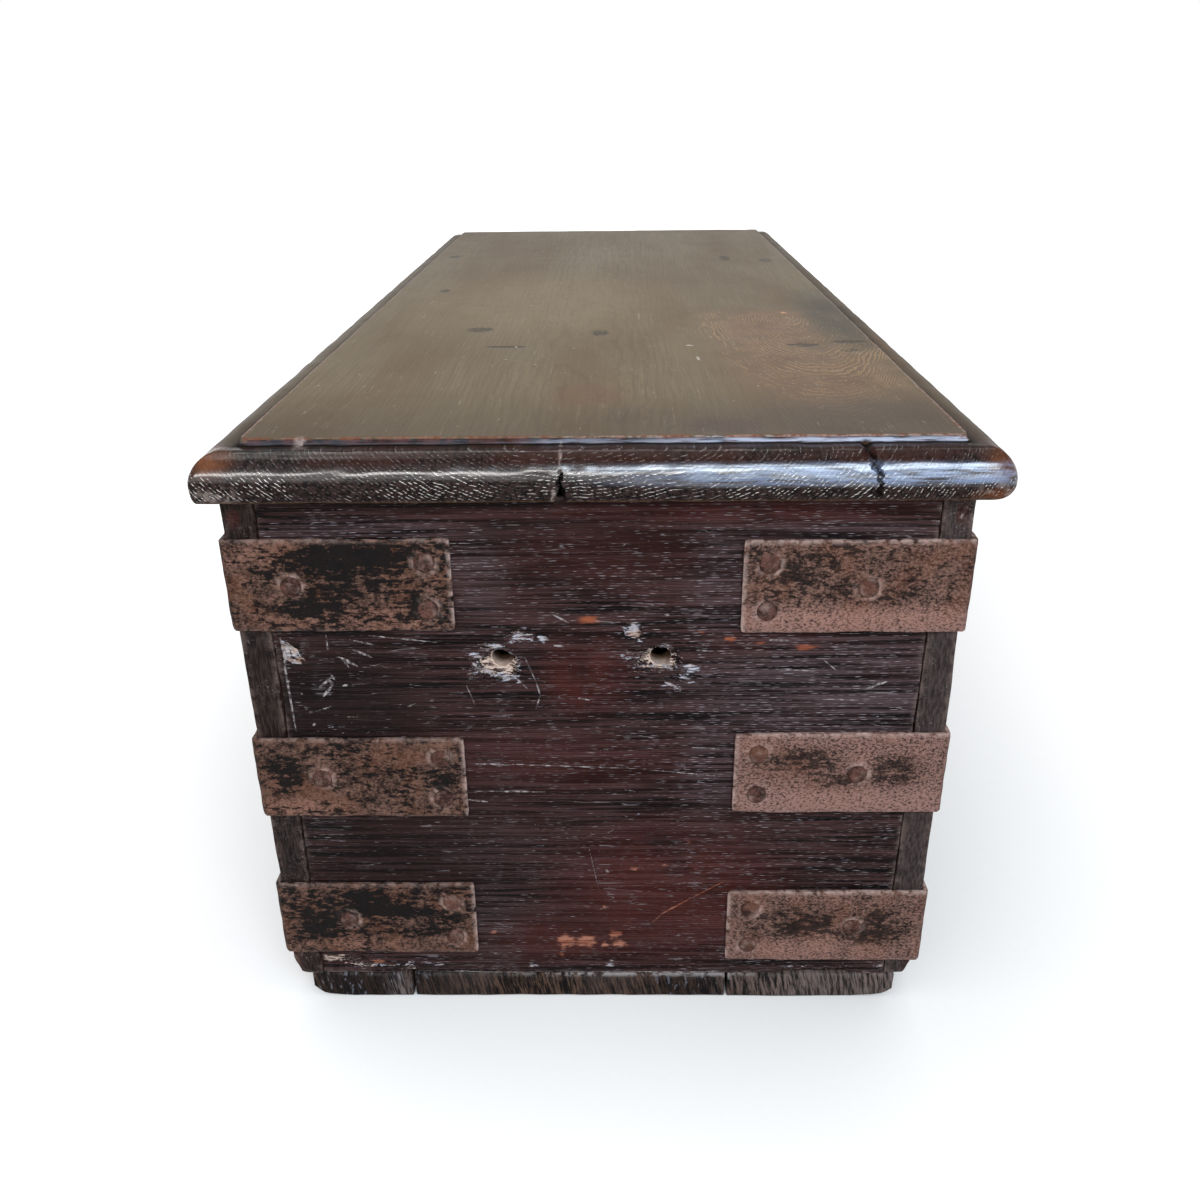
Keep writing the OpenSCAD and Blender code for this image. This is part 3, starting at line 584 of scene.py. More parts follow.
# Soft spots of the same end and of the far one, in millimetres: y, z, their reaches and a
# strength; then the places where the wood is torn out, with a depth instead.
near_spots = {
    "warm": [
        (8.5, 199, 18, 20, 0.95), (-33, 70, 52, 40, 0.85), (-40, 279, 90, 6, 0.7), (0, 260, 40, 13, 0.6),
        (15, 150, 60, 15, 0.35), (10, 40, 50, 14, 0.6), (-75, 214, 30, 6, 0.4)],
    # Painted sheen patches, bluish grey.
    "painted_sheen": [
        (110, 270, 50, 5, 0.7), (56, 248, 12, 20, 0.75), (-52, 245, 14, 26, 0.7), (-52, 145, 14, 33, 0.7),
        (62, 50, 18, 26, 0.7), (-100, 269, 50, 4, 0.6), (-105, 185, 55, 33, 1), (62, 106, 22, 20, 0.4)],
    "waxed": [
        (-45, 242, 65, 33, 1), (35, 255, 50, 20, 0.7), (-100, 195, 50, 30, 0.8), (110, 270, 40, 8, 0.6),
        (-30, 145, 50, 15, 0.5), (-125, 185, 30, 30, 1)],
    # Partly soot, partly painted shade: a band along the top under the lid, and darker patches towards
    # +y.
    "soot_and_shade": [
        (70, 285, 110, 5, 0.9), (5, 262, 50, 18, 0.55), (125, 175, 38, 42, 1), (80, 90, 40, 50, 0.4),
        (110, 90, 50, 30, 0.7)]}
far_spots = {
    "bare": [(47.1, 205, 10.5, 7.5, 0.9), (-26.6, 205, 10, 7.5, 0.9), (-90, 19, 28, 4, 0.6)],
    "warm": [(40, 120, 70, 40, 0.6), (-40, 250, 50, 20, 0.5)],
    # Painted sheen patches, bluish grey.
    "painted_sheen": [(-70, 150, 50, 40, 0.6), (70, 260, 50, 20, 0.5)],
    "waxed": [(0, 220, 90, 40, 0.8), (20, 100, 70, 30, 0.5)]}
torn_places = [
    (49, 203, 10.5, 7, 4), (-25, 205.5, 10, 6.8, 4), (-14.1, 220.1, 4.8, 4.6, 1.2),
    (38.2, 217.8, 7, 4.2, 1.3), (51, 212.7, 7, 2.2, 0.9), (146.5, 210, 6, 8, 1.8), (142, 24, 19, 6, 2.6),
    (106, 19, 5, 6, 1.6), (-110, 16, 23, 6, 1.4), (-15.5, 200.6, 4.5, 5, 0.6), (-36, 195, 8, 4, 0.7),
    (16, 38, 9, 4, 0.6), (130, 193, 4, 6, 0.7), (118, 206, 6, 4, 0.5)]
for side, name in ((-1, "left_end_board"), (1, "right_end_board")):
    low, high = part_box(name)
    fine = 0.0017 if side < 0 else 0.0026
    plank = slab(low, high, (0.005, fine, fine))
    hand_worked(plank, low, high, 3.0 + side, 0.0003, 0.0006)
    outer = low.x if side < 0 else high.x
    torn = np.array(torn_places) / 1000
    if side > 0:
        torn = torn[:5] * (-1, 1, 1, 1, 1) + (0.005, 0.002, 0, 0, 0)
        torn = np.vstack((torn, (-0.09, 0.016, 0.03, 0.006, 0.002)))
    deep_places = torn[torn[:, 1] > 0.19, :2]

    def torn_out(middle):
        near = min(math.hypot(middle.y - u, middle.z - w) for u, w in deep_places)
        return abs(middle.x - outer) < on_face and near < 0.0135

    finer(plank, torn_out, 2)
    if side < 0:
        faces = [f for f in plank.faces if abs(f.calc_center_median().x - outer) < on_face]
        faces = [f for f in faces if f.calc_area() > 2e-6]
        middles = np.array([f.calc_center_median() for f in faces])
        close = np.maximum(drawn(middles, *scratches, 1.2), drawn(middles, *rust_marks, 1.0))
        edges = dict.fromkeys(e for f, value in zip(faces, close) if value > 0 for e in f.edges)
        bmesh.ops.subdivide_edges(plank, edges=list(edges), cuts=3, use_grid_fill=True)
    chip(plank, 0, outer, torn, -side)
    piece = as_piece(plank, name + "_oak", [name], "carcase", end_oak)
    tool = bmesh.new()
    for y in (hole_y - hole_half, hole_y + hole_half):
        hole = bmesh.ops.create_cone(
            tool, cap_ends=True, cap_tris=False, segments=26, radius1=hole_r, radius2=hole_r,
            depth=0.06)["verts"]
        for v in hole:
            v.co.xy *= 1.0 + 0.07 * fractal(v.co.normalized() * 0.01, 0.006, y * 60)
        bmesh.ops.rotate(tool, verts=hole, cent=(0, 0, 0), matrix=Matrix.Rotation(math.pi / 2, 3, "Y"))
        bmesh.ops.translate(tool, verts=hole, vec=((low.x + high.x) / 2, y, hole_z))
    cut_out(piece, tool)
    at = places_of(piece)
    flip = np.array([1, 1, 1]) if side < 0 else np.array([-1, -1, 1])
    seen = at * flip
    mark(piece, "inside", np.clip((seen[:, 0] + 0.3845) / 0.0012, 0, 1))
    mark(piece, "edge", edge_closeness(at, low, high, 0.0018))
    if side < 0:
        on_end = at[:, 0] < 0.012 - half_x
        mark(piece, "bare", drawn(at, *bare_marks) * on_end)
        mark(piece, "rusty", 0.9 * drawn(at, *rust_marks) * on_end)
        mark(piece, "scored", drawn(at, *scratches) * on_end)
    for label, places in (near_spots if side < 0 else far_spots).items():
        mark(piece, label, flat_spots(seen, 0, -half_x, 0.016, places))


# Long boards: front and back planks that lap the end boards' edges, grain along the box, the
# lower outer edge worn away. The front one is cut for the lock, its key and the lid's staple.
long_oak, shader = new_finish("long board oak")
spot = own_place()
grain = use(oak_growth, {
    "Place": spot, "Pith": (0, 0.06, 1.05), "Ring width": 0.0016, "Wander": 0.005, "Pore length": 0.011})
broad = cloud(spot, (7, 26, 26))
colour = layer(between(grain["Fibres"], 0.34, 0.66), (24, 12, 12), (66, 45, 41))
crowd = cloud(spot, (8, 20, 20), 2)
waxed = grain["Pores"] * between(grain["Pore life"] + crowd * 1.1, 0.95, 1.25)
across_grain = between(abs(axes(spot)[0]), 0.3958, 0.3968)
end_grain_with_painted_light = layer(between(cloud(spot, (300, 1100, 150), 4), 0.36, 0.68), (12, 8, 8), (50, 40, 37))
# Painted light: the front board's end grain is lighter, as the side nearer the window.
end_grain_with_painted_light = layer(
    between(axes(spot)[1], 0.02, -0.02) * 0.45, end_grain_with_painted_light,
    layer(between(cloud(spot, (300, 900, 200), 4), 0.4, 0.6), (50, 42, 41), (86, 76, 74)))
torn = attribute("bare") + (cloud(spot, (200, 500, 500), 4, 0.7) - 0.5)
bare = between(torn, 0.45, 0.65)
wear_and_highlight = attribute("edge") * between(cloud(spot, 200), 0.4, 0.62)
lines = use(scratched, {"Place": spot, "Scale": (14, 300, 260), "Width": 0.008, "Amount": 0.6})["Lines"]
inside = attribute("inside")
raw = raw_oak(grain, (78, 55, 40), (116, 87, 64), 0.7, (46, 31, 24))
colour = layers(colour,
    (between(broad, 0.45, 0.7) * 0.6, (82, 44, 34)),
    (between(cloud(spot, (10, 18, 18), 2), 0.56, 0.72) * 0.3, (76, 68, 69)),
    (grain["Rings"] * 0.35, (26, 15, 15)),
    (waxed * 0.55, (150, 140, 138)),
    (across_grain * 0.9, end_grain_with_painted_light),
    (bare * 0.85, layer(grain["Fibres"], (90, 76, 70), (170, 152, 142))),
    (wear_and_highlight * 0.55, (112, 94, 86)),
    (lines * 0.45, (146, 136, 132)),
    (inside, raw))
rough = (broad * 0.3 + 0.42 + (bare + inside) * 0.25).clamped()
height = grain["Fibres"] * 0.55 + grain["Pores"] * -0.5
height += cloud(spot, (40, 180, 180)) * 0.6
dress(shader, colour, rough, height, 0.0007, 0.9, 0.07)


for side, name in ((-1, "front_board"), (1, "back_board")):
    low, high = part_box(name)
    plank = slab(low, high, (0.0045, 0.0025, 0.003))
    outer = low.y if side < 0 else high.y
    for v in plank.verts:
        worn = max(0.0, 1 - (v.co.z - low.z) / 0.008)
        out_share = max(0.0, 1 - abs(v.co.y - outer) / 0.0035)
        if worn > 0 and out_share > 0:
            v.co.y -= side * 0.0037 * worn * out_share
    hand_worked(plank, low, high, 11.0 + side, 0.0002, 0.0006)
    chip(plank, 0, low.x, [
        (-0.157 if side < 0 else 0.162, 0.276, 0.004, 0.008, 0.0016),
        (outer - side * 0.002, 0.03, 0.004, 0.02, 0.002)])
    piece = as_piece(plank, name + "_oak", [name], "carcase", long_oak)
    tools = []
    if side < 0:
        inner = high.y
        tools.append(block((-0.048, inner - 0.0105, 0.222), (0.048, inner + 0.002, 0.278)))
        tools.append(block((0.0258, inner - 0.0104, 0.277), (0.0342, inner + 0.0021, 0.29)))
        ring = bmesh.new()
        bmesh.ops.create_cone(
            ring, cap_ends=True, cap_tris=False, segments=24, radius1=0.0035, radius2=0.0035, depth=0.009)
        bmesh.ops.rotate(
            ring, verts=ring.verts, cent=(0, 0, 0), matrix=Matrix.Rotation(math.pi / 2, 3, "X"))
        bmesh.ops.translate(ring, vec=(0, low.y + 0.0025, 0.255), verts=ring.verts)
        tools += [ring, block((-0.0016, low.y - 0.002, 0.245), (0.0016, low.y + 0.0071, 0.2545))]
    else:
        for x in (-0.235, 0.235):
            tools.append(block((x - 0.0228, low.y - 0.001, 0.2841), (x + 0.0228, high.y + 0.001, 0.29)))
    for tool in tools:
        cut_out(piece, tool)
    at = places_of(piece)
    within = np.clip((0.0022 - side * (at[:, 1] - (high.y if side < 0 else low.y))) / 0.001, 0, 1)
    mark(piece, "inside", within * (np.abs(at[:, 0]) < 0.383))
    mark(piece, "edge", edge_closeness(at, low, high, 0.0022))
    places = []
    for x in (-0.31, -0.12, 0.07, 0.21, 0.34):
        worn_size = (0.05 + 0.02 * math.sin(31 * x), 0.01, 0.006 + 0.003 * math.cos(17 * x))
        places.append(((x, outer, low.z), worn_size, 0.75))
    places += [
        ((-half_x, outer, 0.03), (0.004, 0.02, 0.014), 0.4),
        ((-0.25, outer, 0.2), (0.012, 0.01, 0.004), 0.6), ((0.14, outer, 0.12), (0.02, 0.01, 0.003), 0.6)]
    if side < 0:
        places += [
            ((0, outer, 0.2555), (0.0062, 0.004, 0.0062), 0.6),
            ((0.0, outer, 0.247), (0.004, 0.004, 0.006), 0.5),
            ((-half_x, -0.158, 0.275), (0.006, 0.006, 0.01), 0.45)]
    mark(piece, "bare", soft_spots(at, places))


# Base planks: three rough oak boards nailed up under the box, running lengthwise. Their end
# grain shows at the ends; the outer lower edges are worn round where the box was dragged.
base_oak, shader = new_finish("base oak")
spot = own_place()
grain = use(oak_growth, {
    "Place": spot, "Pith": (0, 0.62, -0.16), "Ring width": 0.0019, "Wander": 0.006, "Pore length": 0.014})
slanted = axes(spot)
slanted = joined(slanted[0], slanted[1] + slanted[2] * -0.18, slanted[2])
lanes = cloud(slanted, (9, 760, 90), 4, 0.65)
colour = layer(between(lanes, 0.41, 0.62), (11, 8, 8), (84, 64, 53))
greyer = between(cloud(spot, (7, 22, 22), 2), 0.45, 0.65)
# Painted glints: small bluish highlights speckling the dark patches.
painted_glint = attribute("dark") * between(cloud(spot, (150, 430, 170), 4), 0.58, 0.66)
pale = grain["Pores"] * between(grain["Pore life"], 0.55, 0.8)
# Wear and painted highlight: a pale line along the top arris.
wear_and_highlight = attribute("edge") * between(cloud(spot, 220), 0.42, 0.6)
raw = attribute("inside")
colour = layers(colour,
    (grain["Rings"] * 0.5, (24, 17, 15)),
    (greyer * 0.35, (64, 54, 52)),
    (attribute("dark") * 0.72, (9, 7, 8)),
    # Painted light: lighter patches on the ends, the broadest on the front (-y) side.
    (attribute("painted_light") * between(lanes, 0.36, 0.66) * 0.6, (140, 126, 122)),
    (painted_glint * 0.5, (126, 126, 136)),
    (pale * 0.3, (132, 118, 104)),
    (wear_and_highlight * 0.85, (160, 152, 150)),
    (raw, layer(between(grain["Fibres"], 0.3, 0.7), (76, 58, 44), (120, 96, 74))))
height = lanes * 0.8 + cloud(spot, 320) * 0.5
dress(shader, colour, 0.55 + lanes * 0.3, height, 0.0009, 0.9, 0.07)

for order, name in enumerate(("base_plank_front", "base_plank_middle", "base_plank_back")):
    low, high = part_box(name)
    plank = slab(low, high, (0.006, 0.0024, 0.0024), 0.0006)
    for v in plank.verts:
        for edge, worn in ((low.y, order == 0), (high.y, order == 2)):
            gap = abs(v.co.y - edge)
            if worn and gap < 0.02 and v.co.z < 0.012:
                end = math.exp(-max(0.0, v.co.x + half_x) / 0.05)
                lifted = (
                    (0.003 if order == 0 else 0.0045) * math.exp(-(gap / 0.0035) ** 2)
                    + 0.0022 * end * math.exp(-(gap / 0.012) ** 1.6))
                v.co.z += lifted * (1 - v.co.z / 0.012)
    hand_worked(plank, low, high, 21.0 + order, 0.0002, 0.0004)
    piece = as_piece(plank, name + "_oak", [name], "carcase", base_oak)
    at = places_of(piece)
    # The top arris, pale as wear and as a painted highlight.
    mark(
        piece, "edge",
        edge_closeness(at, low, high, 0.0016) * (at[:, 2] > 0.0125)
            * np.clip((0.075 - np.abs(at[:, 1] + 0.015)) / 0.03, 0.12, 1))
    mark(
        piece, "inside",
        np.clip((at[:, 2] - 0.0148) / 0.0008, 0, 1)
            * np.clip((half_x - 0.0155 - np.abs(at[:, 0])) / 0.001, 0, 1))
    # Painted light patches on the seen ends.
    mark(piece, "painted_light", soft_spots(at, [
        ((-half_x, -0.125, 0.01), (0.02, 0.055, 0.02), 0.65),
        ((-half_x, 0.112, 0.006), (0.02, 0.006, 0.012), 0.8)]))
    mark(piece, "dark", soft_spots(at, [
        ((-half_x, 0.13, 0.008), (0.05, 0.028, 0.02), 1.0),
        ((-half_x, -0.045, 0.008), (0.05, 0.02, 0.02), 0.75),
        ((-half_x, 0.095, 0.008), (0.05, 0.012, 0.02), 0.6)]))


# Board and base nails: small flat-headed brads driven flush, their heads rusted brown.
iron_skin, into, out = effect(
    "iron skin", {"Place": None, "Black": 0.0, "Share": 0.5}, ("Black scale", "Mottle", "Pits"))
lumps = cloud(into["Place"], (170, 170, 420), 8, 0.72)
grounds = cloud(into["Place"], (26, 26, 60), 2)
sum_black = lumps * 0.74 + grounds * 0.26
sum_black += into["Black"] * 0.125
level_black = 0.86 - into["Share"] * 0.5
feed(between(sum_black, level_black, level_black + 0.045), out["Black scale"])
feed(cloud(into["Place"], (620, 620, 1000), 5, 0.75), out["Mottle"])
feed(cloud(into["Place"], 300, 4, 0.65), out["Pits"])


def rusty_iron(name, dull, bright, black, share, specular):
    finish, shader = new_finish(name)
    spot = own_place()
    skin = use(iron_skin, {"Place": spot, "Black": attribute("black"), "Share": share})
    ground = skin["Mottle"] * 0.6 + skin["Pits"] * 0.4
    patchy = (cloud(spot, (70, 70, 110)) - 0.5) * 0.28
    colour = layer(between(ground + patchy, 0.4, 0.62), dull, bright)
    hue = cloud(spot, 48)
    rosy = attribute("rosy") * between(ground, 0.36, 0.6)
    # Painted light: where it is set the iron is paler and pinker and has less black scale.
    painted_light = attribute("painted_light")
    sparkle = between(skin["Mottle"] + painted_light * 0.1, 0.5, 0.64)
    scale = (skin["Black scale"] * (0.96 - painted_light * 0.4)).clamped()
    worn = attribute("edge") * between(cloud(spot, 260), 0.35, 0.6)
    colour = layers(colour,
        (between(hue, 0.45, 0.68) * 0.4, (104, 66, 48)),
        (rosy * 0.7, (150, 108, 92)),
        (painted_light * sparkle * 0.85, (142, 108, 99)),
        (scale, black),
        (worn * 0.8, (176, 150, 140)))
    rough = 0.68 - skin["Black scale"] * 0.22
    height = skin["Pits"] * 0.65 + skin["Mottle"] * 0.5
    height += skin["Black scale"] * 0.25
    dress(shader, colour, rough, height, 0.0008, 0.95, specular)
    return finish


def paint(names, finish):
    for name in names:
        cad[name].data.materials.clear()
        cad[name].data.materials.append(finish)


nail_rust = rusty_iron("nail rust", (36, 22, 19), (98, 66, 57), (18, 13, 13), 0.36, 0.1)
paint(("board_nails", "base_nails"), nail_rust)


# Corner straps: twelve wrought bars, each hammered flat, bent round an upright corner of the
# box and nailed down; brown with rust, black scale left in patches, the edges rubbed pale. The top
# edges also carry a painted highlight, brighter at the front, and the front straps of the seen end
# are painted paler as painted light.
strap_rust = rusty_iron("strap rust", (36, 25, 21), (112, 83, 71), (9, 7, 8), 0.72, 0.07)
strap_t, strap_h, arm, bend, tip_r = 0.0025, 0.045, 0.1, 0.003, 0.0016
y_mid, half_y = 0.0025, 0.165
heights = {
    "low": (0.0525, -0.0025, 0.0025, -0.001, -0.002), "mid": (0.143, 0.0012, -0.001, 0.0045, -0.006),
    "top": (0.2435, -0.0005, 0.001, 0.008, -0.0085)}
# Black and rosy patches on the arms at the seen end, the same for the arms along the box, in
# millimetres: u from the corner, z from the foot, their reaches and a strength. Then how much
# painted light each seen strap gets.
black_patches = {
    "back_left_top": [
        (-60, 37, 40, 7, 1), (-75, 8, 20, 3, 0.5), (-46, 22, 16, 11, 0.72), (-66, 24, 12, 6, 0.6),
        (-85, 12, 6, 4, 0.8), (-20, 30, 10, 3, 0.6), (-30, 12, 20, 4, 0.7)],
    "back_left_mid": [(-12, 24, 7, 11, 1), (-62, 26, 20, 3, 0.5), (-88, 20, 7, 4, 0.9)],
    "back_left_low": [
        (-50, 24, 50, 14, 0.5), (-15, 20, 13, 10, 0.9), (-60, 27, 22, 4, 1), (-70, 14, 20, 4, 0.9),
        (-42, 38, 10, 4, 0.9), (-86, 24, 10, 6, 0.9)],
    "front_left_top": [(-55, 29, 52, 15, 0.36), (-85, 18, 6, 4, 0.7)],
    "front_left_mid": [(-72, 30, 20, 7, 1.1), (-50, 20, 14, 6, 0.7), (-22, 24, 12, 8, 0.9)],
    "front_left_low": [(-60, 26, 24, 9, 1), (-25, 22, 16, 12, 1), (-85, 20, 6, 8, 0.5)]}
rosy_patches = {
    "front_left_top": [(-50, 6, 55, 6, 0.9)],
    "front_left_low": [(-72, 7, 9, 7, 0.9), (-50, 10, 9, 10, 0.9), (-28, 6, 8, 4, 0.8)],
    "back_left_mid": [(-20, 6, 22, 5, 0.8)],
    "back_left_top": [(-60, 6, 40, 6, 0.6), (-15, 38, 15, 6, 0.5)],
    "back_left_low": [(-35, 6, 25, 4, 0.6)]}
round_the_side = {
    "black": [(55, 26, 30, 9, 0.7), (20, 12, 15, 6, 0.5)],
    "rosy": [(60, 8, 40, 5, 0.5)]}
lit_straps = {
    "front_left_top": 0.36, "front_left_mid": 0.84, "front_left_low": 0.55, "back_left_top": 0.0,
    "back_left_mid": 0.0, "back_left_low": 0.0}


def round_corner(u, w, sx, sy):
    """A place on the flat strap, u along it from the corner and w out of it, bent round the corner."""
    if u < 0:
        x, y = half_x + w, half_y + u
    elif u < bend:
        turn = u / bend * math.pi / 2
        x, y = half_x + w * math.cos(turn), half_y + w * math.sin(turn)
    else:
        x, y = half_x - (u - bend), half_y + w
    return sx * x, y_mid + sy * y


def strap_place(level, sy):
    """How high the foot of a strap lies, and how far the middle nail of its arm is shifted."""
    middle, front_up, back_up, front_nail, back_nail = heights[level]
    up, shift = (front_up, front_nail) if sy < 0 else (back_up, back_nail)
    return middle + up - strap_h / 2, shift


def nail_places(shift):
    return (-arm + 0.0115, 0.0109), (-arm + 0.0115, 0.0341), (-0.036 - shift, strap_h / 2)


for name in sorted(n for n in cad if n.startswith("strap_") and "nails" not in n):
    sy = -1 if "_front_" in name else 1
    sx = -1 if "_left_" in name else 1
    foot, shift = strap_place(name.rsplit("_", 1)[1], sy)
    seed = sum(map(ord, name)) * 0.37
    fine = 0.0021 if sx < 0 else 0.003
    low, high = Vector((-arm, 0.00012, 0.0)), Vector((arm + bend, strap_t, strap_h))
    bar = slab(low, high, (fine, 0.0013, fine), 0.00035)
    for v in bar.verts:
        for u0, way in ((low.x, 1), (high.x, -1)):
            for z0, rise in ((0.0, 1), (strap_h, -1)):
                du, dz = tip_r - way * (v.co.x - u0), tip_r - rise * (v.co.z - z0)
                if du > 0 and dz > 0 and math.hypot(du, dz) > tip_r:
                    pull = tip_r / math.hypot(du, dz)
                    v.co.x, v.co.z = u0 + way * (tip_r - du * pull), z0 + rise * (tip_r - dz * pull)
        rim = min(v.co.z, strap_h - v.co.z)
        outer = v.co.y / strap_t
        v.co.z += (
            (strap_h / 2 - v.co.z) / (strap_h / 2) * 0.0006
            * max(0.0, 0.3 + fractal((v.co.x, 0, 3 * seed), 0.02, seed)) * math.exp(-rim / 0.004))
        v.co.y -= outer * 0.00028 * max(0.0, 0.6 + fractal((v.co.x, 0, v.co.z), 0.009, seed))
        v.co.y -= (
            outer * 0.00035 * math.exp(-(rim / 0.0012) ** 2)
            * max(0.0, 0.5 + fractal((v.co.x, 0, v.co.z), 0.012, seed + 5)))
        tips = min(v.co.x - low.x, high.x - v.co.x)
        v.co.y -= outer * 0.0003 * math.exp(-(tips / 0.0012) ** 2)
    flat = np.array([v.co for v in bar.verts])
    for v in bar.verts:
        u, w, z = v.co
        x, y = round_corner(u, w, sx, sy)
        v.co = (x, y, foot + z)
    piece = as_piece(bar, name + "_iron", [name], "carcase", strap_rust, 50.0)
    nails = nail_places(shift)
    ring = np.zeros(len(flat))
    for u, z in [*nails, *((bend - u, z) for u, z in nails)]:
        far = np.hypot(flat[:, 0] - u, flat[:, 2] - z)
        turn = np.arctan2(flat[:, 2] - z, flat[:, 0] - u)
        ring = np.maximum(
            ring,
            np.exp(-((far - 0.0055) / 0.0008) ** 2)
                * ((0.5 + 0.5 * np.sin(turn + 4000 * (u + z) + seed)) ** 0.7))
    # Rubbed edges, with a painted highlight along the top edge, brighter on the front straps.
    rubbed_and_highlit_sides = np.maximum(
        np.exp(-(flat[:, 2] / 0.0007) ** 2) * 0.25,
        np.exp(-((strap_h - flat[:, 2]) / 0.0008) ** 2) * (0.95 if sy < 0 else 0.5))
    tips = np.exp(-(np.minimum(flat[:, 0] + arm, arm + bend - flat[:, 0]) / 0.0008) ** 2)
    mark(piece, "edge", np.maximum(np.maximum(rubbed_and_highlit_sides, tips), 0.85 * ring))
    foot_band = (
        (0.5 if name.endswith("top") else 0.2) * np.clip((0.016 - flat[:, 2]) / 0.006, 0, 1) * (sy < 0))
    places = black_patches.get(name[6:], [(-50, 25, 30, 10, 0.6)])
    scaly = flat_spots(flat, 1, 0.0, 0.05, places + round_the_side["black"], 0.5)
    places = rosy_patches.get(name[6:], [(-50, 7, 30, 5, 0.5)])
    rosy = flat_spots(flat, 1, 0.0, 0.05, places + round_the_side["rosy"], 0.5)
    # Painted light: the front straps of the seen end, nearer the window, made paler, more so near the
    # foot.
    lit = lit_straps.get(name[6:], 0.25)
    mark(piece, "painted_light", (lit + foot_band) * (1 - 0.5 * np.clip(scaly, 0, 1)))
    mark(piece, "black", (0.9 + 0.3 * lit) * scaly - 0.6 * ring - 0.15 - 1.1 * foot_band - 0.75 * lit)
    mark(piece, "rosy", np.maximum(rosy, 0.5 * ring))


# Strap nails: three in each arm of a strap, hand-made, their heads beaten nearly flat and
# browned like the bars. Their shanks are hidden in the wood.
def beaten_head(shape, place, out, radius, rise, seed):
    made = bmesh.ops.create_uvsphere(shape, u_segments=14, v_segments=10, radius=1.0)["verts"]
    spare = [v for v in made if v.co.z < -0.05]
    bmesh.ops.delete(shape, geom=spare, context="VERTS")
    made = [v for v in made if v.is_valid]
    for v in made:
        wide = math.hypot(v.co.x, v.co.y)
        turn = math.atan2(v.co.y, v.co.x)
        ragged = 1 + 0.055 * noise.noise(Vector((1.6 * math.cos(turn), 1.6 * math.sin(turn), seed)))
        tall = max(0.0, v.co.z) ** 0.55
        tall *= 0.9 + 0.35 * noise.noise(Vector((1.9 * v.co.x, 1.9 * v.co.y, seed + 4)))
        v.co = (v.co.x * radius * ragged, v.co.y * radius * ragged, min(1.0, tall) * rise)
    turned = Vector(out).to_track_quat("Z", "Y").to_matrix()
    bmesh.ops.rotate(shape, verts=made, cent=(0, 0, 0), matrix=turned)
    bmesh.ops.translate(shape, verts=made, vec=Vector(place))


for name in ("front_left", "front_right", "back_left", "back_right"):
    sy = -1 if name.startswith("front") else 1
    sx = -1 if name.endswith("left") else 1
    heads = bmesh.new()
    for level in heights:
        foot, shift = strap_place(level, sy)
        for u, z in nail_places(shift):
            seed = 50 * u + 31 * z + 7 * foot + sx + 2 * sy
            for v in (u, bend - u):
                x, y = round_corner(v, strap_t - 0.0003, sx, sy)
                out = (sx, 0, 0) if v < 0 else (0, sy, 0)
                beaten_head(heads, (x, y, foot + z), out, 0.0048, 0.0019, seed + v)
    name = "strap_nails_" + name
    piece = as_piece(heads, name + "_heads", [name], "carcase", nail_rust, 60.0)
    at = places_of(piece)
    proud = np.maximum(np.abs(at[:, 0]) - half_x, np.abs(at[:, 1] - y_mid) - half_y) - strap_t
    # Painted shade round each head's foot where it meets the strap, laid in through the black-scale
    # share.
    mark(piece, "black", np.clip(1.0 - (proud + 0.0003) / 0.0005, 0, 1) * 2.2 - 0.4)
    # Painted highlight: pale broken rings round each head's shoulder.
    patch = np.array([noise.noise(Vector(p) * 260.0) for p in at])
    mark(piece, "edge", np.exp(-((proud - 0.0009) / 0.0004) ** 2) * np.clip(0.1 + 1.1 * patch, 0, 0.5))


# Hinges: two wrought strap hinges behind the back board, a leaf on the board, a leaf under the
# lid and a riveted pin through their knuckles, all nailed.
leaf_rust = rusty_iron("leaf rust", (64, 46, 40), (112, 84, 74), (20, 19, 22), 0.56, 0.4)
paint([n for n in cad if n.startswith("hinge_") and n.endswith("_leaf")], leaf_rust)
paint(("hinge_left_pin", "hinge_right_pin", "hinge_nails_body", "hinge_nails_lid"), nail_rust)


# Lock: an iron plate nailed over a mortise inside the front board, with guides and a key pin
# for the sliding bolt, and a flat spring over it. Kept oiled, so darker than the straps.
lock_iron, shader = new_finish("oiled iron")
spot = own_place()
skin = use(iron_skin, {"Place": spot, "Share": 0.66})
colour = layer(between(skin["Mottle"], 0.3, 0.7), (58, 50, 46), (98, 88, 82))
colour = layer(between(cloud(spot, 70, 4), 0.5, 0.66) * 0.6, colour, (96, 62, 44))
colour = layer(skin["Black scale"] * 0.85, colour, (24, 23, 25))
rough = 0.55 - skin["Black scale"] * 0.15
dress(shader, colour, rough, skin["Pits"] + skin["Mottle"], 0.0003, 0.8)
feed(0.55, shader.inputs["Metallic"])
paint(("lock_plate", "lock_bolt", "lock_spring", "lid_staple"), lock_iron)
paint(("lock_nails", "staple_nails"), nail_rust)


# Lid: one wide oak board, moulded on all four edges round a raised panel, waxed to a satin.
# Its end has two drying splits; wax fills the pores of the end grain on the moulding.
lid_oak, shader = new_finish("lid oak")
spot = own_place()
xyz = axes(spot)
knot = length(stretched(measured_from(spot, (-0.112, -0.118, 0.3)), (0.25, 1, 0.4)))
knot_share = (1.0 - between(knot, 0.044, 0.088)) * between(xyz[0], -0.055, -0.115)
ripple = cloud(spot, (26, 40, 10), 2)
knot_rings = knot * 0.85 + ripple * 0.005
from_heart = length(stretched(measured_from(spot, (0.0, 0.012, 0.418)), (0, 1, 1)))
swirl = knot_share * (knot_rings - (from_heart - 0.1))
grain = use(oak_growth, {
    "Place": spot, "Pith": (0, 0.012, 0.418), "Ring width": 0.00155, "Wander": 0.0045, "Swirl": swirl,
    "Pore length": 0.016})
broad = cloud(spot, (4, 15, 15))
panel = attribute("panel")
